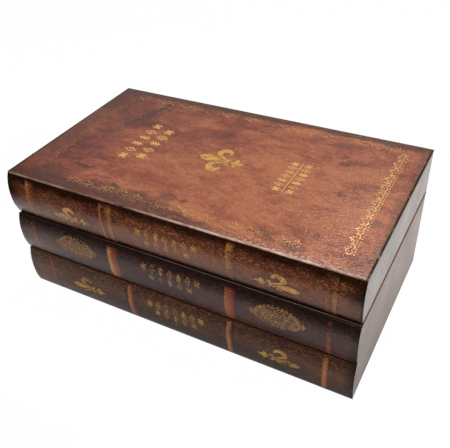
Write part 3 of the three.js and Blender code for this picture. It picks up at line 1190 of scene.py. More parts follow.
MIDDLE = SpineLeather(
    "middle_leather",
    deep=(73, 41, 33),
    middle=(95, 55, 44),
    warm=(115, 68, 53),
    dark_burnish_and_shade=(30, 17, 14),
    grain_size=1.2,
    grain_depth=0.26,
    wells=0.9,
    bottom=39.5,
    top=76.8,
    top_reach=10.0,
    bottom_reach=0.6,
    foot_shine=(2.1, 0.3),
    tone_join=0.24,
)
LOWER = SpineLeather(
    "lower_leather",
    deep=(68, 38, 23),
    middle=(92, 55, 33),
    warm=(118, 75, 42),
    dark_burnish_and_shade=(46, 25, 17),
    grain_size=1.2,
    grain_depth=0.26,
    wells=0.9,
    bottom=0.2,
    top=39.3,
    top_reach=0.6,
    bottom_reach=10.0,
    foot_shine=(1.05, 0.42),
    tone_left=0.12,
    shine=0.34,
    dulled_above=(24.0, 36.0),
)
RIM = RimLeather(
    "rim_leather",
    deep=(70, 36, 27),
    middle=(90, 48, 35),
    warm=(156, 86, 60),
    dark_burnish_and_shade=(22, 13, 11),
    shine=0.15,
)


def placed_object(name: str, data: bpy.types.ID) -> bpy.types.Object:
    """Puts a new object into the scene.

    Args:
        name: Its name.
        data: Its mesh, lamp or camera.

    Returns:
        The object.
    """
    made = bpy.data.objects.new(name, data)
    bpy.context.scene.collection.objects.link(made)
    return made


def make_piece(
    name: str,
    points: Iterable[Sequence[float]],
    faces: Iterable[Sequence[int]],
    body: Body,
    stands_for: Sequence[str] = (),
) -> bpy.types.Object:
    """Makes a mesh piece and hangs it on the body that it moves with.

    Args:
        name: The piece's name.
        points: Its points, in millimetres.
        faces: Its faces, as lists of point numbers.
        body: The body that it rides on.
        stands_for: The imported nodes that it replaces.

    Returns:
        The new object.
    """
    mesh = bpy.data.meshes.new(name)
    mesh.from_pydata([Vector(point) * MM for point in points], [], list(faces))
    mesh.validate()
    piece = placed_object(name, mesh)
    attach(piece, body.value)
    if stands_for:
        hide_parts(*stands_for)
    LOG.info("%s: %d faces, on the %s", name, len(mesh.polygons), body.value)
    return piece


def smooth(piece: bpy.types.Object, angle: float) -> None:
    """Shades a piece smooth, apart from edges sharper than an angle in degrees."""
    for polygon in piece.data.polygons:
        polygon.use_smooth = True
    piece.data.set_sharp_from_angle(angle=math.radians(angle))


def dress(piece: bpy.types.Object, *materials: bpy.types.Material) -> None:
    """Gives a piece its materials, in the order of its material numbers."""
    piece.data.materials.clear()
    for material in materials:
        piece.data.materials.append(material)


def spread(low: float, high: float, step: float) -> list[float]:
    """Gives even stations from low to high, no further apart than step."""
    count = max(1, math.ceil((high - low) / step))
    return [low + (high - low) * i / count for i in range(count + 1)]


@dataclass(frozen=True)
class SpineProfile:
    """The curve of one book's spine, seen from the end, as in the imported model."""

    bottom: float
    top: float
    bottom_setback: float
    top_setback: float
    bulge: float
    fold: float = -84.0
    power: float = 2.3

    def depth(self, height: float) -> float:
        """Gives how far forward the spine lies.

        Args:
            height: The height above the table.

        Returns:
            The place along Y.
        """
        share = min(1.0, max(0.0, (height - self.bottom) / (self.top - self.bottom)))
        setback = self.bottom_setback + (self.top_setback - self.bottom_setback) * share
        return self.fold + setback - self.bulge * (1 - abs(2 * share - 1) ** self.power)

    def outline(self, step: float = 0.8) -> list[Vector]:
        """Gives the curve from top to bottom, as points in Y and Z."""
        return [Vector((self.depth(z), z)) for z in reversed(spread(self.bottom, self.top, step))]


LID_SPINE = SpineProfile(bottom=77.4, top=116.4, bottom_setback=0.7, top_setback=0.0, bulge=4.2)
MIDDLE_SPINE = SpineProfile(bottom=39.5, top=75.8, bottom_setback=-0.6, top_setback=-1.9, bulge=3.5)
LOWER_SPINE = SpineProfile(bottom=0.2, top=39.3, bottom_setback=-1.2, top_setback=-1.5, bulge=3.1)


@dataclass
class LeatherSheet:
    """A sheet of leatherette bent over a section and laid along X."""

    name: str
    outer: list[Vector]
    inner: list[Vector]
    ends: tuple[float, float]
    body: Body
    slot: Slot
    stands_for: str
    station_step: float = 3.0
    rounding: float = 0.18
    sway: float = 0.05
    sway_rate: tuple[float, float] = (0.03, 0.09)
    seed: float = 0.0

    def point(self, x: float, i: int, face: Sequence[Vector], pinch: float) -> Vector:
        """Places one point of the sheet.

        Args:
            x: Its station.
            i: Its number along the section.
            face: The section's outer or inner line.
            pinch: How far it is drawn towards the other line, to round a cut edge.

        Returns:
            The point.
        """
        here = face[i]
        other = (self.inner if face is self.outer else self.outer)[i]
        out = (self.outer[i] - self.inner[i]).normalized()
        along, down = self.sway_rate
        wave = noise.noise(Vector((x * along, i * down, self.seed))) * self.sway
        flat = here.lerp(other, pinch) + out * wave
        return Vector((x, flat.x, flat.y))

    def build(self, leather: bpy.types.Material, cut_edge: bpy.types.Material) -> bpy.types.Object:
        """Makes the sheet.

        Args:
            leather: The material of its two faces.
            cut_edge: The material of its cut edges.

        Returns:
            The piece.
        """
        low, high = self.ends
        stations = [low, *spread(low + self.rounding, high - self.rounding, self.station_step), high]
        count = len(self.outer)
        last = len(stations) - 1
        points = []
        for face in (self.outer, self.inner):
            for j, x in enumerate(stations):
                for i in range(count):
                    at_edge = j in (0, last) or i in (0, count - 1)
                    points.append(self.point(x, i, face, self.rounding if at_edge else 0.0))
        back = count * len(stations)

        def at(j: int, i: int, side: int) -> int:
            """Gives the number of one point."""
            return side * back + j * count + i

        faces, edges = [], []
        for j in range(last):
            for i in range(count - 1):
                faces.append((at(j, i, 0), at(j + 1, i, 0), at(j + 1, i + 1, 0), at(j, i + 1, 0)))
                faces.append((at(j, i, 1), at(j, i + 1, 1), at(j + 1, i + 1, 1), at(j + 1, i, 1)))
            for i, turn in ((0, 1), (count - 1, -1)):
                ring = (at(j, i, 1), at(j + 1, i, 1), at(j + 1, i, 0), at(j, i, 0))
                edges.append(ring[::turn])
        for j, turn in ((0, -1), (last, 1)):
            for i in range(count - 1):
                ring = (at(j, i, 1), at(j, i + 1, 1), at(j, i + 1, 0), at(j, i, 0))
                edges.append(ring[::turn])
        piece = make_piece(self.name, points, faces + edges, self.body, (self.stands_for,))
        dress(piece, leather, cut_edge)
        for polygon in list(piece.data.polygons)[len(faces):]:
            polygon.material_index = 1 if abs(polygon.normal.x) > 0.5 else 0
        smooth(piece, 50)
        return piece


@dataclass
class Covers:
    """The three leather skins: the lid's cover, and the spines of the middle and the lower book."""

    thickness: float = 1.0
    fold_radius: float = 1.6
    top_step: float = 4.0
    fold_steps: int = 7
    fold_gap: float = 0.4

    def cover_lines(self) -> tuple[list[Vector], list[Vector]]:
        """Draws the lid's cover from the back edge of the top, over the fold, to the foot of the spine.

        Returns:
            The outer and the inner line of the section, in Y and Z.
        """
        _, high = corners("lid_cover_leather")
        fold, back, top, radius = LID_SPINE.fold, high.y, high.z, self.fold_radius
        ys = spread(fold + radius, back, self.top_step)[::-1]
        outer = [Vector((y, top)) for y in ys]
        inner = [Vector((y, top - self.thickness)) for y in ys]
        centre = Vector((fold + radius, top - radius))
        for i in range(1, self.fold_steps + 1):
            angle = math.pi / 2 * (1 + i / self.fold_steps)
            ray = Vector((math.cos(angle), math.sin(angle)))
            outer.append(centre + ray * radius)
            inner.append(centre + ray * (radius - self.thickness))
        start = top - radius
        for point in LID_SPINE.outline():
            if point.y < start - self.fold_gap:
                outer.append(point)
                inner.append(point + Vector((self.thickness, 0)))
        return outer, inner

    def build(self) -> None:
        """Makes the three skins."""
        cut_edge = CutEdgeFinish().build()
        low, high = corners("lid_cover_leather")
        ends = (low.x, high.x)
        outer, inner = self.cover_lines()
        cover = LeatherSheet(
            "lid_cover", outer, inner, ends, Body.LID, Slot.COVER_LEATHER, "lid_cover_leather", seed=1.5
        )
        cover.build(COVER.build(), cut_edge)
        for name, profile, finish, slot in (
            ("middle_spine", MIDDLE_SPINE, MIDDLE, Slot.MIDDLE_LEATHER),
            ("lower_spine", LOWER_SPINE, LOWER, Slot.LOWER_LEATHER),
        ):
            outer = profile.outline()
            inner = [point + Vector((self.thickness, 0)) for point in outer]
            skin = LeatherSheet(
                f"{name}_skin", outer, inner, ends, Body.BASE, slot, f"{name}_leather", seed=profile.top
            )
            skin.build(finish.build(), cut_edge)


@dataclass
class RoundedBlock:
    """A soft-edged block, such as a padded card or a sheet of felt."""

    name: str
    low: Vector
    high: Vector
    radius: float
    body: Body
    slot: Slot
    stands_for: str
    step: float = 5.0
    arc_steps: int = 3
    crown_axis: int = 2
    crown_side: int = 1
    crown: float = 0.0
    crown_power: int = 6

    def stations(self, axis: int) -> list[float]:
        """Gives the places of the block's grid lines along one axis.

        Args:
            axis: The number of the axis.

        Returns:
            The places, which lie closer together in the rounded edges.
        """
        low, high, radius = self.low[axis], self.high[axis], self.radius
        eighth = math.pi / 4
        rises = [1 - math.cos(eighth * i / self.arc_steps) for i in range(self.arc_steps + 1)]
        arc = [radius * rise / (1 - math.cos(eighth)) for rise in rises]
        middle = spread(low + radius, high - radius, self.step)[1:-1]
        return [low + a for a in arc] + middle + [high - a for a in reversed(arc)]

    def rounded(self, point: Vector) -> Vector:
        """Draws a point of the sharp block in to the rounded one, and raises the crowned face.

        Args:
            point: The point of the sharp block.

        Returns:
            The point of the rounded block.
        """
        limits = [(low + self.radius, high - self.radius) for low, high in zip(self.low, self.high)]
        core = Vector([min(max(value, low), high) for value, (low, high) in zip(point, limits)])
        out = point - core
        result = core + out.normalized() * self.radius if out.length > 1e-9 else point.copy()
        size = self.high - self.low
        share = 1.0
        for axis in range(3):
            if axis != self.crown_axis:
                middle = (self.high[axis] + self.low[axis]) / 2
                share *= 1 - abs((point[axis] - middle) / (size[axis] / 2)) ** self.crown_power
        side = self.high if self.crown_side > 0 else self.low
        near = 1 - abs(point[self.crown_axis] - side[self.crown_axis]) / size[self.crown_axis]
        result[self.crown_axis] -= self.crown_side * self.crown * (1 - share) * near
        return result

    def build(self, material: bpy.types.Material) -> bpy.types.Object:
        """Makes the block.

        Args:
            material: Its material.

        Returns:
            The piece.
        """
        lines = [self.stations(axis) for axis in range(3)]
        sizes = [len(line) - 1 for line in lines]
        numbers: dict[tuple[int, int, int], int] = {}
        points: list[Vector] = []

        def number(key: tuple[int, int, int]) -> int:
            """Gives the number of a grid point, and makes the point at its first use."""
            if key not in numbers:
                numbers[key] = len(points)
                points.append(self.rounded(Vector([lines[axis][key[axis]] for axis in range(3)])))
            return numbers[key]

        faces = []
        for axis in range(3):
            u, v = (axis + 1) % 3, (axis + 2) % 3
            for end in (0, sizes[axis]):
                for i in range(sizes[u]):
                    for j in range(sizes[v]):
                        ring = []
                        for a, b in ((i, j), (i + 1, j), (i + 1, j + 1), (i, j + 1)):
                            key = [0, 0, 0]
                            key[axis], key[u], key[v] = end, a, b
                            ring.append(number(tuple(key)))
                        faces.append(ring if end else ring[::-1])
        piece = make_piece(self.name, points, faces, self.body, (self.stands_for,))
        dress(piece, material)
        smooth(piece, 60)
        return piece


@dataclass
class Linings:
    """The velvet-covered cards inside both halves, and the felt under the box."""

    wall_radius: float = 0.5
    pad_radius: float = 0.9
    felt_radius: float = 0.3
    pad_crown: float = 0.5
    wall_crown: float = 0.1

    def build(self) -> None:
        """Makes the linings and the felt."""
        velvet = VelvetFinish("velvet", dark=(52, 14, 18), light=(112, 40, 42)).build()
        felt = VelvetFinish("felt", dark=(36, 26, 21), light=(70, 54, 44), sheen=0.15, pile_size=0.9).build()
        for body in Body:
            prefix = body.value
            for side, axis, turn in (("front", 1, 1), ("back", 1, -1), ("left", 0, 1), ("right", 0, -1)):
                node = f"{prefix}_{side}_lining"
                low, high = corners(node)
                name = f"{prefix}_{side}_velvet"
                card = RoundedBlock(name, low, high, self.wall_radius, body, Slot.VELVET, node)
                card = replace(card, crown_axis=axis, crown_side=turn, crown=self.wall_crown)
                card.build(velvet)
        for body, node, name, turn in (
            (Body.BASE, "base_floor_lining", "base_floor_velvet", 1),
            (Body.LID, "lid_top_lining", "lid_top_velvet", -1),
        ):
            low, high = corners(node)
            pad = RoundedBlock(name, low, high, self.pad_radius, body, Slot.VELVET, node)
            pad = replace(pad, crown_side=turn, crown=self.pad_crown)
            pad.build(velvet)
        low, high = corners("underside_felt")
        sheet = RoundedBlock(
            "underside_felt_sheet", low, high, self.felt_radius, Body.BASE, Slot.FELT, "underside_felt"
        )
        sheet.build(felt)


@dataclass
class Rims:
    """The thin leather frames over the edges of the walls, where the two halves meet."""

    radius: float = 0.25
    arc_steps: int = 3
    step: float = 6.0
    width: float = 8.0

    def section(self, height: float) -> list[tuple[float, float]]:
        """Draws the frame's cross-section with rounded corners.

        Args:
            height: Its height.

        Returns:
            Its points, as shares of its width from the outside, and heights.
        """
        radius = self.radius
        points = []
        for corner, (across, up) in enumerate(((self.width, height), (0, height), (0, 0), (self.width, 0))):
            centre_across, centre_up = abs(across - radius), abs(up - radius)
            for i in range(self.arc_steps + 1):
                angle = math.pi / 2 * (corner + i / self.arc_steps)
                share = (centre_across + radius * math.cos(angle)) / self.width
                points.append((share, centre_up + radius * math.sin(angle)))
        return points

    def build_frame(
        self, node: str, name: str, body: Body, opening: tuple[Vector, Vector], material: bpy.types.Material
    ) -> None:
        """Makes one frame.

        Args:
            node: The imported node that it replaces.
            name: Its name.
            body: The body that it rides on.
            opening: Two opposite corners of the opening in it.
            material: Its material.
        """
        low, high = corners(node)
        outside, inside = (
            [Vector((a.x, a.y)), Vector((b.x, a.y)), Vector((b.x, b.y)), Vector((a.x, b.y))]
            for a, b in ((low, high), opening)
        )
        section = self.section(high.z - low.z)
        points, rings = [], 0
        for corner in range(4):
            following = (corner + 1) % 4
            length = (outside[following] - outside[corner]).length
            for share in spread(0, 1, self.step / length)[:-1]:
                start = outside[corner].lerp(outside[following], share)
                end = inside[corner].lerp(inside[following], share)
                for across, up in section:
                    flat = start.lerp(end, across)
                    points.append((flat.x, flat.y, low.z + up))
                rings += 1
        count = len(section)
        faces = []
        for ring in range(rings):
            here, there = ring * count, (ring + 1) % rings * count
            for i in range(count):
                faces.append((here + i, here + (i + 1) % count, there + (i + 1) % count, there + i))
        piece = make_piece(name, points, faces, body, (node,))
        dress(piece, material)
        smooth(piece, 60)

    def build(self) -> None:
        """Makes the two frames."""
        leather = RIM.build()
        for body in Body:
            prefix = body.value
            _, front_high = corners(f"{prefix}_front_lining")
            back_low, _ = corners(f"{prefix}_back_lining")
            _, left_high = corners(f"{prefix}_left_lining")
            opening = (Vector((left_high.x, front_high.y)), Vector((-left_high.x, back_low.y)))
            self.build_frame(f"{prefix}_rim", f"{prefix}_rim_leather", body, opening, leather)


@dataclass
class Motif:
    """A flat ornament, in millimetres: closed outlines, which may overlap."""

    outlines: list[list[Vector]] = field(default_factory=list)

    def __add__(self, other: "Motif") -> "Motif":
        """Lays two ornaments together."""
        return Motif(self.outlines + other.outlines)

    def placed(
        self, x: float = 0, y: float = 0, turn: float = 0, scale: tuple[float, float] = (1, 1)
    ) -> "Motif":
        """Gives a scaled, turned and moved copy.

        Args:
            x: How far it moves along the first axis.
            y: How far it moves along the second axis.
            turn: How far it turns, in degrees.
            scale: Its scale along each axis, before it turns.

        Returns:
            The copy.
        """
        angle = math.radians(turn)
        cos, sin = math.cos(angle), math.sin(angle)
        copy = []
        for outline in self.outlines:
            flat = [(point.x * scale[0], point.y * scale[1]) for point in outline]
            copy.append([Vector((x + u * cos - v * sin, y + u * sin + v * cos)) for u, v in flat])
        return Motif(copy)

    def mirrored(self) -> "Motif":
        """Gives the ornament with its mirror image across the first axis."""
        return self + self.placed(scale=(1, -1))

    def disc(self, x: float, y: float, radius: float, sides: int = 9) -> "Motif":
        """Adds a dot."""
        turns = [math.tau * i / sides for i in range(sides)]
        self.outlines.append([Vector((x + radius * math.cos(a), y + radius * math.sin(a))) for a in turns])
        return self

    def leaf(
        self, root: Sequence[float], tip: Sequence[float], half: float, steps: int = 5, belly: float = 0.6
    ) -> "Motif":
        """Adds a pointed leaf.

        Args:
            root: Where it starts.
            tip: Where it ends.
            half: Its half width.
            steps: How many points each side has.
            belly: Where it is widest, from 0 at the root to 1 at the tip.

        Returns:
            The ornament.
        """
        start, end = Vector(root), Vector(tip)
        side = (end - start).orthogonal().normalized() * half
        power = math.log(0.5) / math.log(belly)
        bulges = [side * math.sin(math.pi * (i / steps) ** power) for i in range(steps + 1)]
        left = [start.lerp(end, i / steps) + bulge for i, bulge in enumerate(bulges)]
        right = [start.lerp(end, i / steps) - bulges[i] for i in range(steps - 1, 0, -1)]
        self.outlines.append(left + right)
        return self

    def stroke(
        self, path: Sequence[tuple[float, float, float]], steps: int = 4, closed: bool = False
    ) -> "Motif":
        """Adds a line of changing width along a smooth path.

        Args:
            path: Its points, each with the line's half width there.
            steps: How many pieces lie between two points.
            closed: Whether the path joins up.

        Returns:
            The ornament.
        """
        knots = [Vector(knot) for knot in path]
        count = len(knots)

        def knot_at(number: int) -> Vector:
            """Gives a knot by its number, which may lie past the path's ends."""
            return knots[number % count] if closed else knots[min(max(number, 0), count - 1)]

        line = []
        for i in range(count if closed else count - 1):
            ahead = [knot_at(i + k) for k in (-1, 0, 1, 2)]
            for j in range(steps):
                line.append(catmull_rom(ahead, j / steps))
        line.append(knots[0] if closed else knots[-1])
        sides = []
        for i, knot in enumerate(line):
            before = line[i - 1] if i else (line[-2] if closed else line[0])
            after = line[i + 1] if i + 1 < len(line) else (line[1] if closed else line[-1])
            run = (after - before).xy
            across = Vector((-run.y, run.x)).normalized() * knot.z
            sides.append((knot.xy + across, knot.xy - across))
        for (a, b), (c, d) in zip(sides, sides[1:]):
            self.outlines.append([a, b, d, c])
        return self

    def ring(
        self, x: float, y: float, radius: float, half: float, flat: float = 1.0, sides: int = 12
    ) -> "Motif":
        """Adds a ring with a line of the given half width, flattened along the second axis."""
        turns = [math.tau * i / sides for i in range(sides)]
        path = [(x + radius * math.cos(a), y + radius * flat * math.sin(a), half) for a in turns]
        return self.stroke(path, steps=1, closed=True)


def catmull_rom(knots: Sequence[Vector], share: float) -> Vector:
    """Gives a point between the middle two of four knots on a smooth curve through them."""
    a, b, c, d = knots
    t2, t3 = share * share, share**3
    return (b * 2 + (c - a) * share + (a * 2 - b * 5 + c * 4 - d) * t2 + (b * 3 - a - c * 3 + d) * t3) / 2


class Ornament:
    """The traditional ornaments that the gilt tooling uses."""

    @staticmethod
    def fleur_de_lis() -> Motif:
        """Draws a fleur-de-lis 41 long and 35 wide, its tip along the first axis."""
        side = Motif().stroke(
            ((-6.0, 1.0, 0.7), (-1.0, 3.4, 1.0), (3.6, 6.0, 1.5), (5.6, 9.4, 2.5), (4.2, 13.0, 2.9),
             (0.8, 14.8, 2.6), (-2.2, 13.6, 1.9), (-3.6, 11.6, 1.3)),
            steps=5,
        )
        side.disc(-3.7, 11.4, 1.5, 12)
        side.leaf((-11.4, 0.2), (-14.4, 6.0), 1.9)
        side.leaf((-6.0, 1.5), (-9.2, 5.6), 0.7)
        middle = Motif().leaf((-6.0, 0), (20.0, 0), 4.7, steps=12, belly=0.66)
        middle.stroke(((-6.2, -5.6, 0.55), (-5.6, 0, 0.9), (-6.2, 5.6, 0.55)))
        middle.leaf((-7.5, 0), (-20.6, 0), 2.5, steps=8, belly=0.55)
        return side.mirrored() + middle

    @staticmethod
    def quatrefoil(size: float) -> Motif:
        """Draws an open four-petalled flower with a dot in it, and one above and below.

        Args:
            size: Half its height.

        Returns:
            The flower.
        """
        dot = size * 0.12
        flower = Motif().disc(0, 0, size * 0.13).disc(0, size * 0.95, dot).disc(0, -size * 0.95, dot)
        for turn in (45, 135, 225, 315):
            petal = Motif().ring(size * 0.45, 0, size * 0.26, size * 0.095, 0.75, 8)
            flower = flower + petal.placed(turn=turn)
        return flower

    @staticmethod
    def lozenge(size: float) -> Motif:
        """Draws a tall open lozenge with a dot in it."""
        line = size * 0.11
        path = ((size * 0.5, 0, line), (0, size, line), (-size * 0.5, 0, line), (0, -size, line))
        return Motif().stroke(path, steps=1, closed=True).disc(0, 0, size * 0.16)

    @staticmethod
    def leaf_pair(size: float) -> Motif:
        """Draws a sprig: a stem with three pairs of leaves and a bud.

        Args:
            size: Half its height.

        Returns:
            The sprig.
        """
        line = size * 0.09
        sprig = Motif().stroke(((0, -size, line), (0, 0, line), (0, size * 0.7, line)), steps=2)
        for height in (-0.62, -0.12, 0.38):
            for side in (-1, 1):
                tip = (side * size * 0.5, size * (height + 0.42))
                sprig.leaf((0, size * height), tip, size * 0.15, steps=4)
        return sprig.disc(0, size * 0.92, size * 0.13)

    @classmethod
    def row(cls, count: int, pitch: float, size: float) -> Motif:
        """Draws a row of small flowers, lozenges and sprigs, the same from either end.

        Args:
            count: How many there are.
            pitch: From one to the next.
            size: The size of each.

        Returns:
            The row, along the first axis with its middle at the origin.
        """
        kinds = (cls.quatrefoil, cls.lozenge, cls.leaf_pair, cls.lozenge)
        row = Motif()
        for i in range(count):
            mirror = min(i, count - 1 - i)
            turn = 180 if i > (count - 1) / 2 else 0
            row = row + kinds[mirror % len(kinds)](size).placed((i - (count - 1) / 2) * pitch, 0, turn)
        return row

    @staticmethod
    def dots(count: int, pitch: float, radius: float) -> Motif:
        """Draws a row of dots.

        Args:
            count: How many there are.
            pitch: From one to the next.
            radius: The radius of each.

        Returns:
            The dots, along the first axis with their middle at the origin.
        """
        row = Motif()
        for i in range(count):
            row.disc((i - (count - 1) / 2) * pitch, 0, radius, 7)
        return row

    @staticmethod
    def palmette() -> Motif:
        """Draws one repeat of the lace border: a fan of leaves on a scroll, over a row of dots.

        Returns:
            The repeat, its leaves pointing along the second axis.
        """
        unit = Motif()
        for from_middle, length, half in ((0, 4.6, 0.75), (40, 4.0, 0.62), (78, 3.2, 0.5)):
            for turn in sorted({90 - from_middle, 90 + from_middle}):
                leaf = Motif().leaf((1.2, 0), (length, 0), half, steps=4)
                unit = unit + leaf.placed(0, 2.2, turn)
        scroll = Motif().stroke(
            ((0.4, 1.2, 0.3), (2.0, 0.2, 0.36), (4.4, 0.5, 0.36), (5.3, 2.2, 0.34), (4.5, 3.3, 0.3),
             (3.7, 2.6, 0.3)),
            steps=3,
        )
        scroll.disc(5.75, 4.2, 0.45, 6)
        unit = unit + scroll + scroll.placed(scale=(-1, 1))
        for i in range(4):
            unit.disc((i - 1.5) * 2.875, -1.6, 0.55, 6)
        return unit

    @classmethod
    def border(cls, length: float, pitch: float = 11.5) -> Motif:
        """Draws one side of the lace border.

        Args:
            length: Its length.
            pitch: About how long one repeat is.

        Returns:
            The side, along the first axis with its middle at the origin.
        """
        count = round(length / pitch)
        side = Motif()
        for i in range(count):
            side = side + cls.palmette().placed((i - (count - 1) / 2) * length / count, 0)
        return side

    @staticmethod
    def filigree(
        length: float = 41.0, width: float = 22.0, pitch: float = 2.9, loops: int = 30, seed: int = 7
    ) -> Motif:
        """Draws an oval medallion of rings in a scalloped edge, with a sprig at each end.

        Args:
            length: Its length.
            width: Its width.
            pitch: From one ring to the next.
            loops: How many scallops it has.
            seed: Sets how the rings wander. Without it they would wander differently at each start.

        Returns:
            The medallion.
        """
        oval = Motif()
        a, b = length / 2 - 3.4, width / 2 - 1.9
        row_height, wander = 0.86, 0.37
        noise.seed_set(seed)
        for row in range(-4, 5):
            y = row * pitch * row_height
            for column in range(-7, 8):
                x = (column + 0.5 * (row % 2)) * pitch
                if (x / (a - 1.0)) ** 2 + (y / (b - 0.8)) ** 2 < 1:
                    shift = noise.noise_vector(Vector((x, y, 0)) * wander)
                    oval.ring(x + shift.x, y + shift.y * 0.8, 1.15 + shift.z * 0.35, 0.27, sides=7)
        for i in range(loops):
            angle = math.tau * (i + 0.5) / loops
            scallop = Motif().ring(0, 0, 1.05, 0.3, 0.85, 7)
            oval = oval + scallop.placed(a * math.cos(angle), b * math.sin(angle), math.degrees(angle))
        tip = Motif().leaf((a + 1.2, 0), (a + 4.6, 0), 1.1)
        tip.disc(a + 2.4, 2.0, 0.8, 8).disc(a + 2.4, -2.0, 0.8, 8)
        return oval + tip.placed(scale=(-1, 1)) + tip


class Ground(Enum):
    """The surfaces that gilt is laid on, each with its label, body, slot, leather and spine."""

    TOP = ("top", Body.LID, Slot.COVER_LEATHER, COVER, None)
    LID_SPINE = ("lid_spine", Body.LID, Slot.COVER_LEATHER, LID_SPINE_LEATHER, LID_SPINE)
    MIDDLE_SPINE = ("middle_spine", Body.BASE, Slot.MIDDLE_LEATHER, MIDDLE, MIDDLE_SPINE)
    LOWER_SPINE = ("lower_spine", Body.BASE, Slot.LOWER_LEATHER, LOWER, LOWER_SPINE)

    def __init__(
        self, label: str, body: Body, slot: Slot, leather: LeatherFinish, profile: SpineProfile | None
    ) -> None:
        """Keeps what belongs to the surface. The flat top has no profile."""
        self.label, self.body, self.slot = label, body, slot
        self.leather, self.profile = leather, profile

    def point(self, flat: Vector, lift: float) -> Vector:
        """Lays a flat point on the surface.

        Args:
            flat: Its place along X, and along Y on the top or along Z on a spine.
            lift: How far above the leather it lies.

        Returns:
            The point.
        """
        if self.profile is None:
            return Vector((flat.x, flat.y, CAD_BOX[1].z / MM + lift))
        probe = 0.2
        slope = (self.profile.depth(flat.y + probe) - self.profile.depth(flat.y - probe)) / (2 * probe)
        out = Vector((0, -1, slope)).normalized()
        return Vector((flat.x, self.profile.depth(flat.y), flat.y)) + out * lift


def film_faces(front: list[tuple[int, ...]], count: int) -> list[tuple[int, ...]]:
    """Gives a thin film a back and walls.

    Args:
        front: The faces of its front, as point numbers.
        count: How many points the front has. The back's points follow them in the same order.

    Returns:
        The faces of the front, of the back and of the walls between them.
    """
    back = [tuple(i + count for i in reversed(ring)) for ring in front]
    directed = {(a, b) for ring in front for a, b in zip(ring, ring[1:] + ring[:1])}
    walls = [(b, a, a + count, b + count) for a, b in sorted(directed) if (b, a) not in directed]
    return front + back + walls


@dataclass
class Foil:
    """A film of gold print laid on the leather."""

    name: str
    motif: Motif
    ground: Ground
    grid: float = 1.3
    lift: float = 0.06
    thickness: float = 0.03

    def triangles(self) -> tuple[list[Vector], list[tuple[int, ...]]]:
        """Cuts the ornament into triangles, small enough to follow a curved spine.

        Returns:
            The flat points, and the triangles between them.
        """
        points: list[Vector] = []
        outlines = []
        for outline in self.motif.outlines:
            area = sum(a.x * b.y - b.x * a.y for a, b in zip(outline, outline[1:] + outline[:1]))
            ring = outline if area > 0 else outline[::-1]
            outlines.append(list(range(len(points), len(points) + len(ring))))
            points.extend(ring)
        if self.ground is not Ground.TOP:
            xs, ys = [p.x for p in points], [p.y for p in points]
            for x in spread(min(xs), max(xs), self.grid):
                points.extend(Vector((x, y)) for y in spread(min(ys), max(ys), self.grid))
        made = delaunay_2d_cdt(points, [], outlines, 1, 1e-4)
        return made[0], [tuple(ring) for ring, sources in zip(made[2], made[5]) if sources]

    def build(self, material: bpy.types.Material) -> bpy.types.Object:
        """Makes the film.

        Args:
            material: Its material.

        Returns:
            The piece.
        """
        flat, triangles = self.triangles()
        points = [self.ground.point(p, self.lift + self.thickness) for p in flat]
        points += [self.ground.point(p, self.lift) for p in flat]
        faces = film_faces(triangles, len(flat))
        piece = make_piece(self.name, points, faces, self.ground.body)
        dress(piece, material)
        return piece


@dataclass
class Band:
    """A printed band across a spine, from one edge of the skin to the other."""

    name: str
    plan: BandPlan
    ground: Ground
    margin: float = 0.6
    lift: float = 0.03
    thickness: float = 0.02
    step_across: float = 1.5
    step_up: float = 0.8

    def build(self, finish: BandFinish) -> bpy.types.Object:
        """Makes the band, with flat coordinates across and up it.

        Args:
            finish: Its finish.

        Returns:
            The piece.
        """
        profile, width = self.ground.profile, self.plan.width
        xs = spread(self.plan.x - width / 2, self.plan.x + width / 2, self.step_across)
        zs = spread(profile.bottom + self.margin, profile.top - self.margin, self.step_up)
        points, uvs = [], []
        for lift in (self.lift + self.thickness, self.lift):
            for z in zs:
                for x in xs:
                    points.append(self.ground.point(Vector((x, z)), lift))
                    uvs.append(((x - xs[0]) / width, (z - zs[0]) / (zs[-1] - zs[0])))
        columns, rows = len(xs), len(zs)
        front = []
        for j in range(rows - 1):
            for i in range(columns - 1):
                here, above = j * columns + i, (j + 1) * columns + i
                front.append((here, here + 1, above + 1, above))
        faces = film_faces(front, columns * rows)
        piece = make_piece(self.name, points, faces, self.ground.body)
        layer = piece.data.uv_layers.new(name="band")
        for loop in piece.data.loops:
            layer.data[loop.index].uv = uvs[loop.vertex_index]
        dress(piece, finish.build())
        smooth(piece, 60)
        return piece


@dataclass(frozen=True)
class RowPlan:
    """A row of small ornaments: how many, from one to the next, their size, and its middle and turn."""

    count: int
    pitch: float
    size: float
    x: float
    y: float
    turn: float = 0.0

    def draw(self) -> Motif:
        """Draws the row in its place."""
        return Ornament.row(self.count, self.pitch, self.size).placed(self.x, self.y, self.turn)


TAN: Shade = (222, 150, 86)
OLIVE: Shade = (174, 112, 64)
BROWN: Shade = (134, 70, 44)
ORANGE: Shade = (190, 96, 44)
RED: Shade = (150, 58, 34)
DARK: Shade = (52, 24, 17)

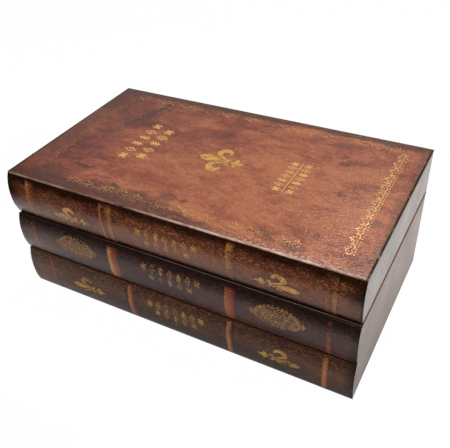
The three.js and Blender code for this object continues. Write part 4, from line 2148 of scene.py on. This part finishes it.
LID_BANDS = (
    BandPlan(
        -125, 14, ((0.05, TAN), (0.3, OLIVE), (1.0, BROWN)),
        strength=0.95, worn=0.2, soft=1.0, lower=0.6,
    ),
    BandPlan(
        -51, 13, ((0.0, TAN), (0.16, TAN), (0.3, BROWN), (0.6, OLIVE), (0.7, TAN), (1.0, BROWN)),
        strength=0.85, worn=0.3, soft=0.1, upper=0.8,
    ),
    BandPlan(
        56, 8.5, ((0.0, TAN), (0.3, TAN), (0.6, OLIVE), (1.0, BROWN)),
        strength=1.0, worn=0.38, soft=0.4, lower=0.35,
    ),
    BandPlan(
        129, 10.5, ((0.0, BROWN), (0.2, OLIVE), (0.5, BROWN), (0.75, TAN), (1.0, BROWN)),
        strength=0.75, worn=0.45, soft=0.25, upper=0.5, lower=0.95,
    ),
)
MIDDLE_BANDS = (
    BandPlan(
        -134, 8, ((0.2, BROWN), (0.5, ORANGE), (0.9, RED)),
        strength=0.7, worn=0.3, soft=0.5, upper=0.7,
    ),
    BandPlan(
        -50.5, 12, ((0.0, TAN), (0.25, TAN), (0.42, ORANGE), (0.75, RED), (1.0, DARK)),
        strength=0.95, worn=0.05, soft=0.12, upper=0.9,
    ),
    BandPlan(
        54, 10, ((0.0, OLIVE), (0.18, OLIVE), (0.34, ORANGE), (0.75, RED), (1.0, DARK)),
        strength=0.95, worn=0.1, soft=0.12, lower=0.85,
    ),
    BandPlan(
        130, 4.5, ((0.0, RED), (0.5, ORANGE), (1.0, RED)),
        strength=0.7, worn=0.35, soft=0.4, upper=0.5,
    ),
)
LOWER_BANDS = (
    BandPlan(
        -125, 6, ((0.0, BROWN), (0.5, ORANGE), (1.0, BROWN)),
        strength=0.5, worn=0.3, soft=0.4, lower=0.4,
    ),
    BandPlan(
        -41.5, 9, ((0.0, DARK), (0.2, DARK), (0.4, TAN), (0.65, ORANGE), (1.0, DARK)),
        strength=0.8, worn=0.15, soft=0.15, lower=0.6,
    ),
    BandPlan(
        52, 7.5, ((0.0, BROWN), (0.3, TAN), (0.5, OLIVE), (0.75, DARK), (1.0, DARK)),
        strength=0.8, worn=0.25, soft=0.15, lower=0.8,
    ),
    BandPlan(
        129, 5.5, ((0.0, BROWN), (0.45, TAN), (0.7, ORANGE), (1.0, BROWN)),
        strength=0.85, worn=0.2, soft=0.3, lower=0.6,
    ),
)


@dataclass(frozen=True)
class SpineGilding:
    """The gold on one spine: an ornament near each end, two rows and a line of dots between them."""

    ground: Ground
    ends: tuple[float, float]
    end_height: float
    row_heights: tuple[float, float]
    dot_height: float
    gold: Shade
    worn: float
    fade: tuple[float, float]
    metal: float = 0.3
    middle: float = 2.5
    bands: tuple[BandPlan, ...] = ()
    band_offset: float = 0.37

    def build_bands(self) -> None:
        """Lays the bands across the spine."""
        for number, plan in enumerate(self.bands, 1):
            name = f"{self.ground.label}_band_{number}"
            finish = BandFinish(name, self.ground.leather, plan, offset=number * self.band_offset)
            Band(name, plan, self.ground).build(finish)

    def end_ornament(self) -> tuple[str, Motif]:
        """Gives the name and the drawing of the ornament that stands near each end."""
        if self.ground is Ground.MIDDLE_SPINE:
            return "medallion", Ornament.filigree()
        return "fleur_de_lis", Ornament.fleur_de_lis().placed(scale=(0.88, 0.62))

    def build(self) -> None:
        """Lays the ornaments and the rows."""
        name = self.ground.label
        gilt = GiltFinish(f"{name}_gilt", self.ground.leather, self.gold, worn=self.worn)
        gilt = replace(gilt, fade=self.fade, metal=self.metal).build()
        label, ornament = self.end_ornament()
        for side, sign, x in zip(("left", "right"), (-1, 1), self.ends):
            end = ornament.placed(x, self.end_height, scale=(sign, 1))
            Foil(f"{name}_{side}_{label}", end, self.ground).build(gilt)
        upper, lower = self.row_heights
        rows = RowPlan(7, 8.0, 3.9, self.middle, upper).draw()
        rows = rows + RowPlan(5, 8.6, 3.6, self.middle, lower).draw()
        rows = rows + Ornament.dots(11, 3.2, 0.55).placed(self.middle, self.dot_height)
        Foil(f"{name}_middle_rows", rows, self.ground).build(gilt)


@dataclass
class GiltTooling:
    """All the gold print: the top's border, fleur-de-lis and rows, and the print on the three spines."""

    border_x: float = 133.0
    border_front: float = -72.5
    border_back: float = 73.5
    corner_gap: float = 12.0
    front_gap: float = 30.0
    border_tarnish: Shade = (160, 108, 62)
    crest_place: tuple[float, float] = (1.3, 1.0)
    left_rows: tuple[RowPlan, ...] = (
        RowPlan(6, 10.4, 5.3, x=-77.5, y=1.5, turn=90),
        RowPlan(5, 10.6, 5.3, x=-62.5, y=1.5, turn=90),
    )
    right_rows: tuple[RowPlan, ...] = (
        RowPlan(7, 6.2, 3.9, x=58, y=1.0, turn=90),
        RowPlan(7, 6.2, 3.9, x=69.5, y=1.0, turn=90),
    )
    right_line: tuple[tuple[float, float, float], ...] = ((63.7, -20, 0.3), (63.7, 0, 0.3), (63.7, 22, 0.3))
    spines: tuple[SpineGilding, ...] = (
        SpineGilding(
            Ground.LID_SPINE, ends=(-87, 91), end_height=91.5, row_heights=(100.5, 92.5), dot_height=86,
            gold=(236, 176, 96), worn=0.3, fade=(84, 92), bands=LID_BANDS,
        ),
        SpineGilding(
            Ground.MIDDLE_SPINE, ends=(-89.5, 91.5), end_height=61.5, row_heights=(67, 58.5), dot_height=51.5,
            gold=(194, 148, 96), worn=0.36, fade=(48, 58), bands=MIDDLE_BANDS,
        ),
        SpineGilding(
            Ground.LOWER_SPINE, ends=(-86.5, 93), end_height=17.5, row_heights=(27, 19), dot_height=12.5,
            gold=(200, 154, 74), worn=0.34, fade=(7, 16), bands=LOWER_BANDS,
        ),
    )

    def build_border(self) -> None:
        """Lays the lace border round the top, more worn in front and behind than at its right end."""
        along, across = 2 * self.border_x, self.border_back - self.border_front
        middle = (self.border_back + self.border_front) / 2
        even, dim, bright = (206, 154, 98), (152, 100, 62), (228, 178, 116)
        for name, x, y, turn, length, gold, worn, patchy in (
            ("front", self.front_gap / 2, self.border_front, 0, along - self.front_gap, even, 0.46, 0.4),
            ("back", 0, self.border_back, 180, along, even, 0.42, 0.3),
            ("left", -self.border_x, middle, -90, across, dim, 0.42, 0.2),
            ("right", self.border_x, middle, 90, across, bright, 0.2, 0.1),
        ):
            lace = GiltFinish(f"{name}_border_gilt", COVER, gold, self.border_tarnish, worn, patchy)
            side = Ornament.border(length - self.corner_gap).placed(x, y, turn)
            Foil(f"top_border_{name}", side, Ground.TOP).build(lace.build())

    def build_top(self) -> None:
        """Lays the gold on the top."""
        gilt = GiltFinish("cover_gilt", COVER, worn=0.24).build()
        pale = GiltFinish("row_gilt", COVER, (216, 168, 96), (180, 128, 72), worn=0.1, metal=0.15).build()
        crest = Ornament.fleur_de_lis().placed(*self.crest_place, 180)
        Foil("top_fleur_de_lis", crest, Ground.TOP).build(gilt)
        self.build_border()
        left = sum((plan.draw() for plan in self.left_rows), Motif())
        right = sum((plan.draw() for plan in self.right_rows), Motif())
        right.stroke(self.right_line, steps=2)
        Foil("top_left_rows", left, Ground.TOP).build(pale)
        Foil("top_right_rows", right, Ground.TOP).build(pale)

    def build(self) -> None:
        """Lays all the gold."""
        for spine in self.spines:
            spine.build_bands()
        self.build_top()
        for spine in self.spines:
            spine.build()


@dataclass
class Carcass:
    """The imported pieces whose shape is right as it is: boards, mouldings, papers and hinges."""

    paper_of: dict[Body, PaperFinish] = field(default_factory=lambda: {
        Body.LID: PaperFinish(
            "lid_paper", (200, 192, 188), (169, 161, 158), low=77.4, high=116.4, seam=77.4
        ),
        Body.BASE: PaperFinish(
            "base_paper", (189, 177, 172), (157, 144, 139), low=0.2, high=75.8, seam=75.8, dimmed=0.55
        ),
    })

    def build(self) -> None:
        """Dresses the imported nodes."""
        fibreboard = FibreboardFinish().build()
        brass = BrassFinish("brass").build()
        pin = BrassFinish("pin_brass", (170, 132, 74), (84, 60, 34)).build()
        papers = {body.value: finish.build() for body, finish in self.paper_of.items()}
        for name, node in frame["nodes"].items():
            if name.endswith(("_board", "_moulding")):
                dress(node, fibreboard)
            elif name.endswith("_paper"):
                dress(node, papers[node["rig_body"]])
            elif name.endswith("_pin"):
                dress(node, pin)
            elif "_hinge_" in name:
                dress(node, brass)
            else:
                continue
            LOG.info("%s: dressed", name)


@dataclass(frozen=True)
class Lamp:
    """A soft lamp: its place and the width and height of its face in metres, and its power in watts."""

    name: str
    place: tuple[float, float, float]
    size: tuple[float, float]
    power: float

    def hang(self, aim: Vector) -> None:
        """Hangs the lamp.

        Args:
            aim: What it points at.
        """
        light = bpy.data.lights.new(self.name, "AREA")
        light.shape = "RECTANGLE"
        light.size, light.size_y = self.size
        light.energy = self.power
        lamp = placed_object(self.name, light)
        lamp.location = self.place
        lamp.rotation_mode = "QUATERNION"
        lamp.rotation_quaternion = (aim - Vector(self.place)).to_track_quat("-Z", "Y")


@dataclass
class Studio:
    """The white floor, the soft lamps and the camera, in metres."""

    floor_size: float = 12.0
    floor_drop: float = 0.0002
    world_light: float = 0.03
    world_in_gloss: float = 0.08
    flag_corners: tuple[tuple[float, float], ...] = ((1.5, -0.25), (-0.275, -0.25), (-0.275, 0.05))
    flag_height: float = 0.22
    lamps: tuple[Lamp, ...] = (
        Lamp("overhead", place=(0.05, 0.4, 1.1), size=(0.3, 0.6), power=7.0),
        Lamp("back", place=(-0.6, 1.6, 0.9), size=(2.4, 2.4), power=4.6),
        Lamp("right", place=(1.0, 0.3, 0.35), size=(0.5, 0.5), power=4.0),
        Lamp("front", place=(0.12, -0.5, 1.2), size=(0.25, 0.25), power=13.5),
    )
    aim_height: float = 0.06
    camera_place: Vector = field(default_factory=lambda: Vector((0.21119, -0.35147, 0.36948)))
    camera_right: Vector = field(default_factory=lambda: Vector((0.87867, 0.47478, -0.05019)))
    camera_up: Vector = field(default_factory=lambda: Vector((-0.25787, 0.56044, 0.78703)))
    sensor: float = 36.0
    lens: float = 47.568
    shift: tuple[float, float] = (-0.00373, 0.00583)

    def stand(
        self, name: str, points: list[tuple], faces: list[tuple[int, ...]], material: bpy.types.Material
    ) -> bpy.types.Object:
        """Makes one piece of the studio, which isn't part of the box.

        Args:
            name: Its name.
            points: Its points.
            faces: Its faces, as lists of point numbers.
            material: Its material.

        Returns:
            The new object.
        """
        mesh = bpy.data.meshes.new(name)
        mesh.from_pydata(points, [], faces)
        piece = placed_object(name, mesh)
        dress(piece, material)
        return piece

    def build_floor(self) -> None:
        """Lays the floor."""
        half = self.floor_size / 2
        points = [(-half, -half, 0), (half, -half, 0), (half, half, 0), (-half, half, 0)]
        floor = self.stand("floor", points, [(0, 1, 2, 3)], FloorFinish().build())
        floor.location.z = -self.floor_drop

    def build_flag(self) -> None:
        """Stands a folded black card in front, hidden from the camera, to darken what the spines mirror."""
        count = len(self.flag_corners)
        points = [(x, y, z) for z in (0, self.flag_height) for x, y in self.flag_corners]
        walls = [(i, i + 1, i + 1 + count, i + count) for i in range(count - 1)]
        black = FibreboardFinish("black_card", (12, 12, 12), (6, 6, 6)).build()
        flag = self.stand("flag", points, walls, black)
        flag.visible_camera = False

    def build_world(self) -> None:
        """Fills the room with faint even light, and shows the camera a white backdrop."""
        world = bpy.data.worlds.new("room")
        world.use_nodes = True
        tree = world.node_tree
        background = tree.nodes["Background"]
        background.inputs["Color"].default_value = (1, 1, 1, 1)
        rays = tree.nodes.new("ShaderNodeLightPath").outputs
        level = None
        for ray, share in (
            ("Is Glossy Ray", self.world_in_gloss),
            ("Is Transmission Ray", 1.0),
            ("Is Camera Ray", 1.0),
        ):
            seen = tree.nodes.new("ShaderNodeMath")
            seen.operation = "MULTIPLY"
            seen.inputs[1].default_value = share
            tree.links.new(rays[ray], seen.inputs[0])
            brighter = tree.nodes.new("ShaderNodeMath")
            brighter.operation = "MAXIMUM"
            brighter.inputs[1].default_value = self.world_light
            if level is not None:
                tree.links.new(level, brighter.inputs[1])
            tree.links.new(seen.outputs[0], brighter.inputs[0])
            level = brighter.outputs[0]
        tree.links.new(level, background.inputs["Strength"])
        bpy.context.scene.world = world

    def build_camera(self) -> None:
        """Sets up the camera at the photograph's viewpoint."""
        data = bpy.data.cameras.new("camera")
        data.sensor_width = self.sensor
        data.lens = self.lens
        data.shift_x, data.shift_y = self.shift
        camera = placed_object("camera", data)
        back = self.camera_right.cross(self.camera_up)
        turn = Matrix((self.camera_right, self.camera_up, back)).transposed()
        camera.matrix_world = Matrix.Translation(self.camera_place) @ turn.to_4x4()
        bpy.context.scene.camera = camera

    def build(self) -> None:
        """Sets up the whole studio."""
        self.build_floor()
        self.build_world()
        self.build_flag()
        for lamp in self.lamps:
            lamp.hang(Vector((0, 0, self.aim_height)))
        self.build_camera()
        bpy.context.scene.view_settings.view_transform = "Standard"


def main() -> None:
    """Builds the box piece by piece."""
    logging.basicConfig(level=logging.INFO, format="%(message)s")
    Studio().build()
    Carcass().build()
    Covers().build()
    Rims().build()
    Linings().build()
    GiltTooling().build()


if __name__ == "__main__":
    main()
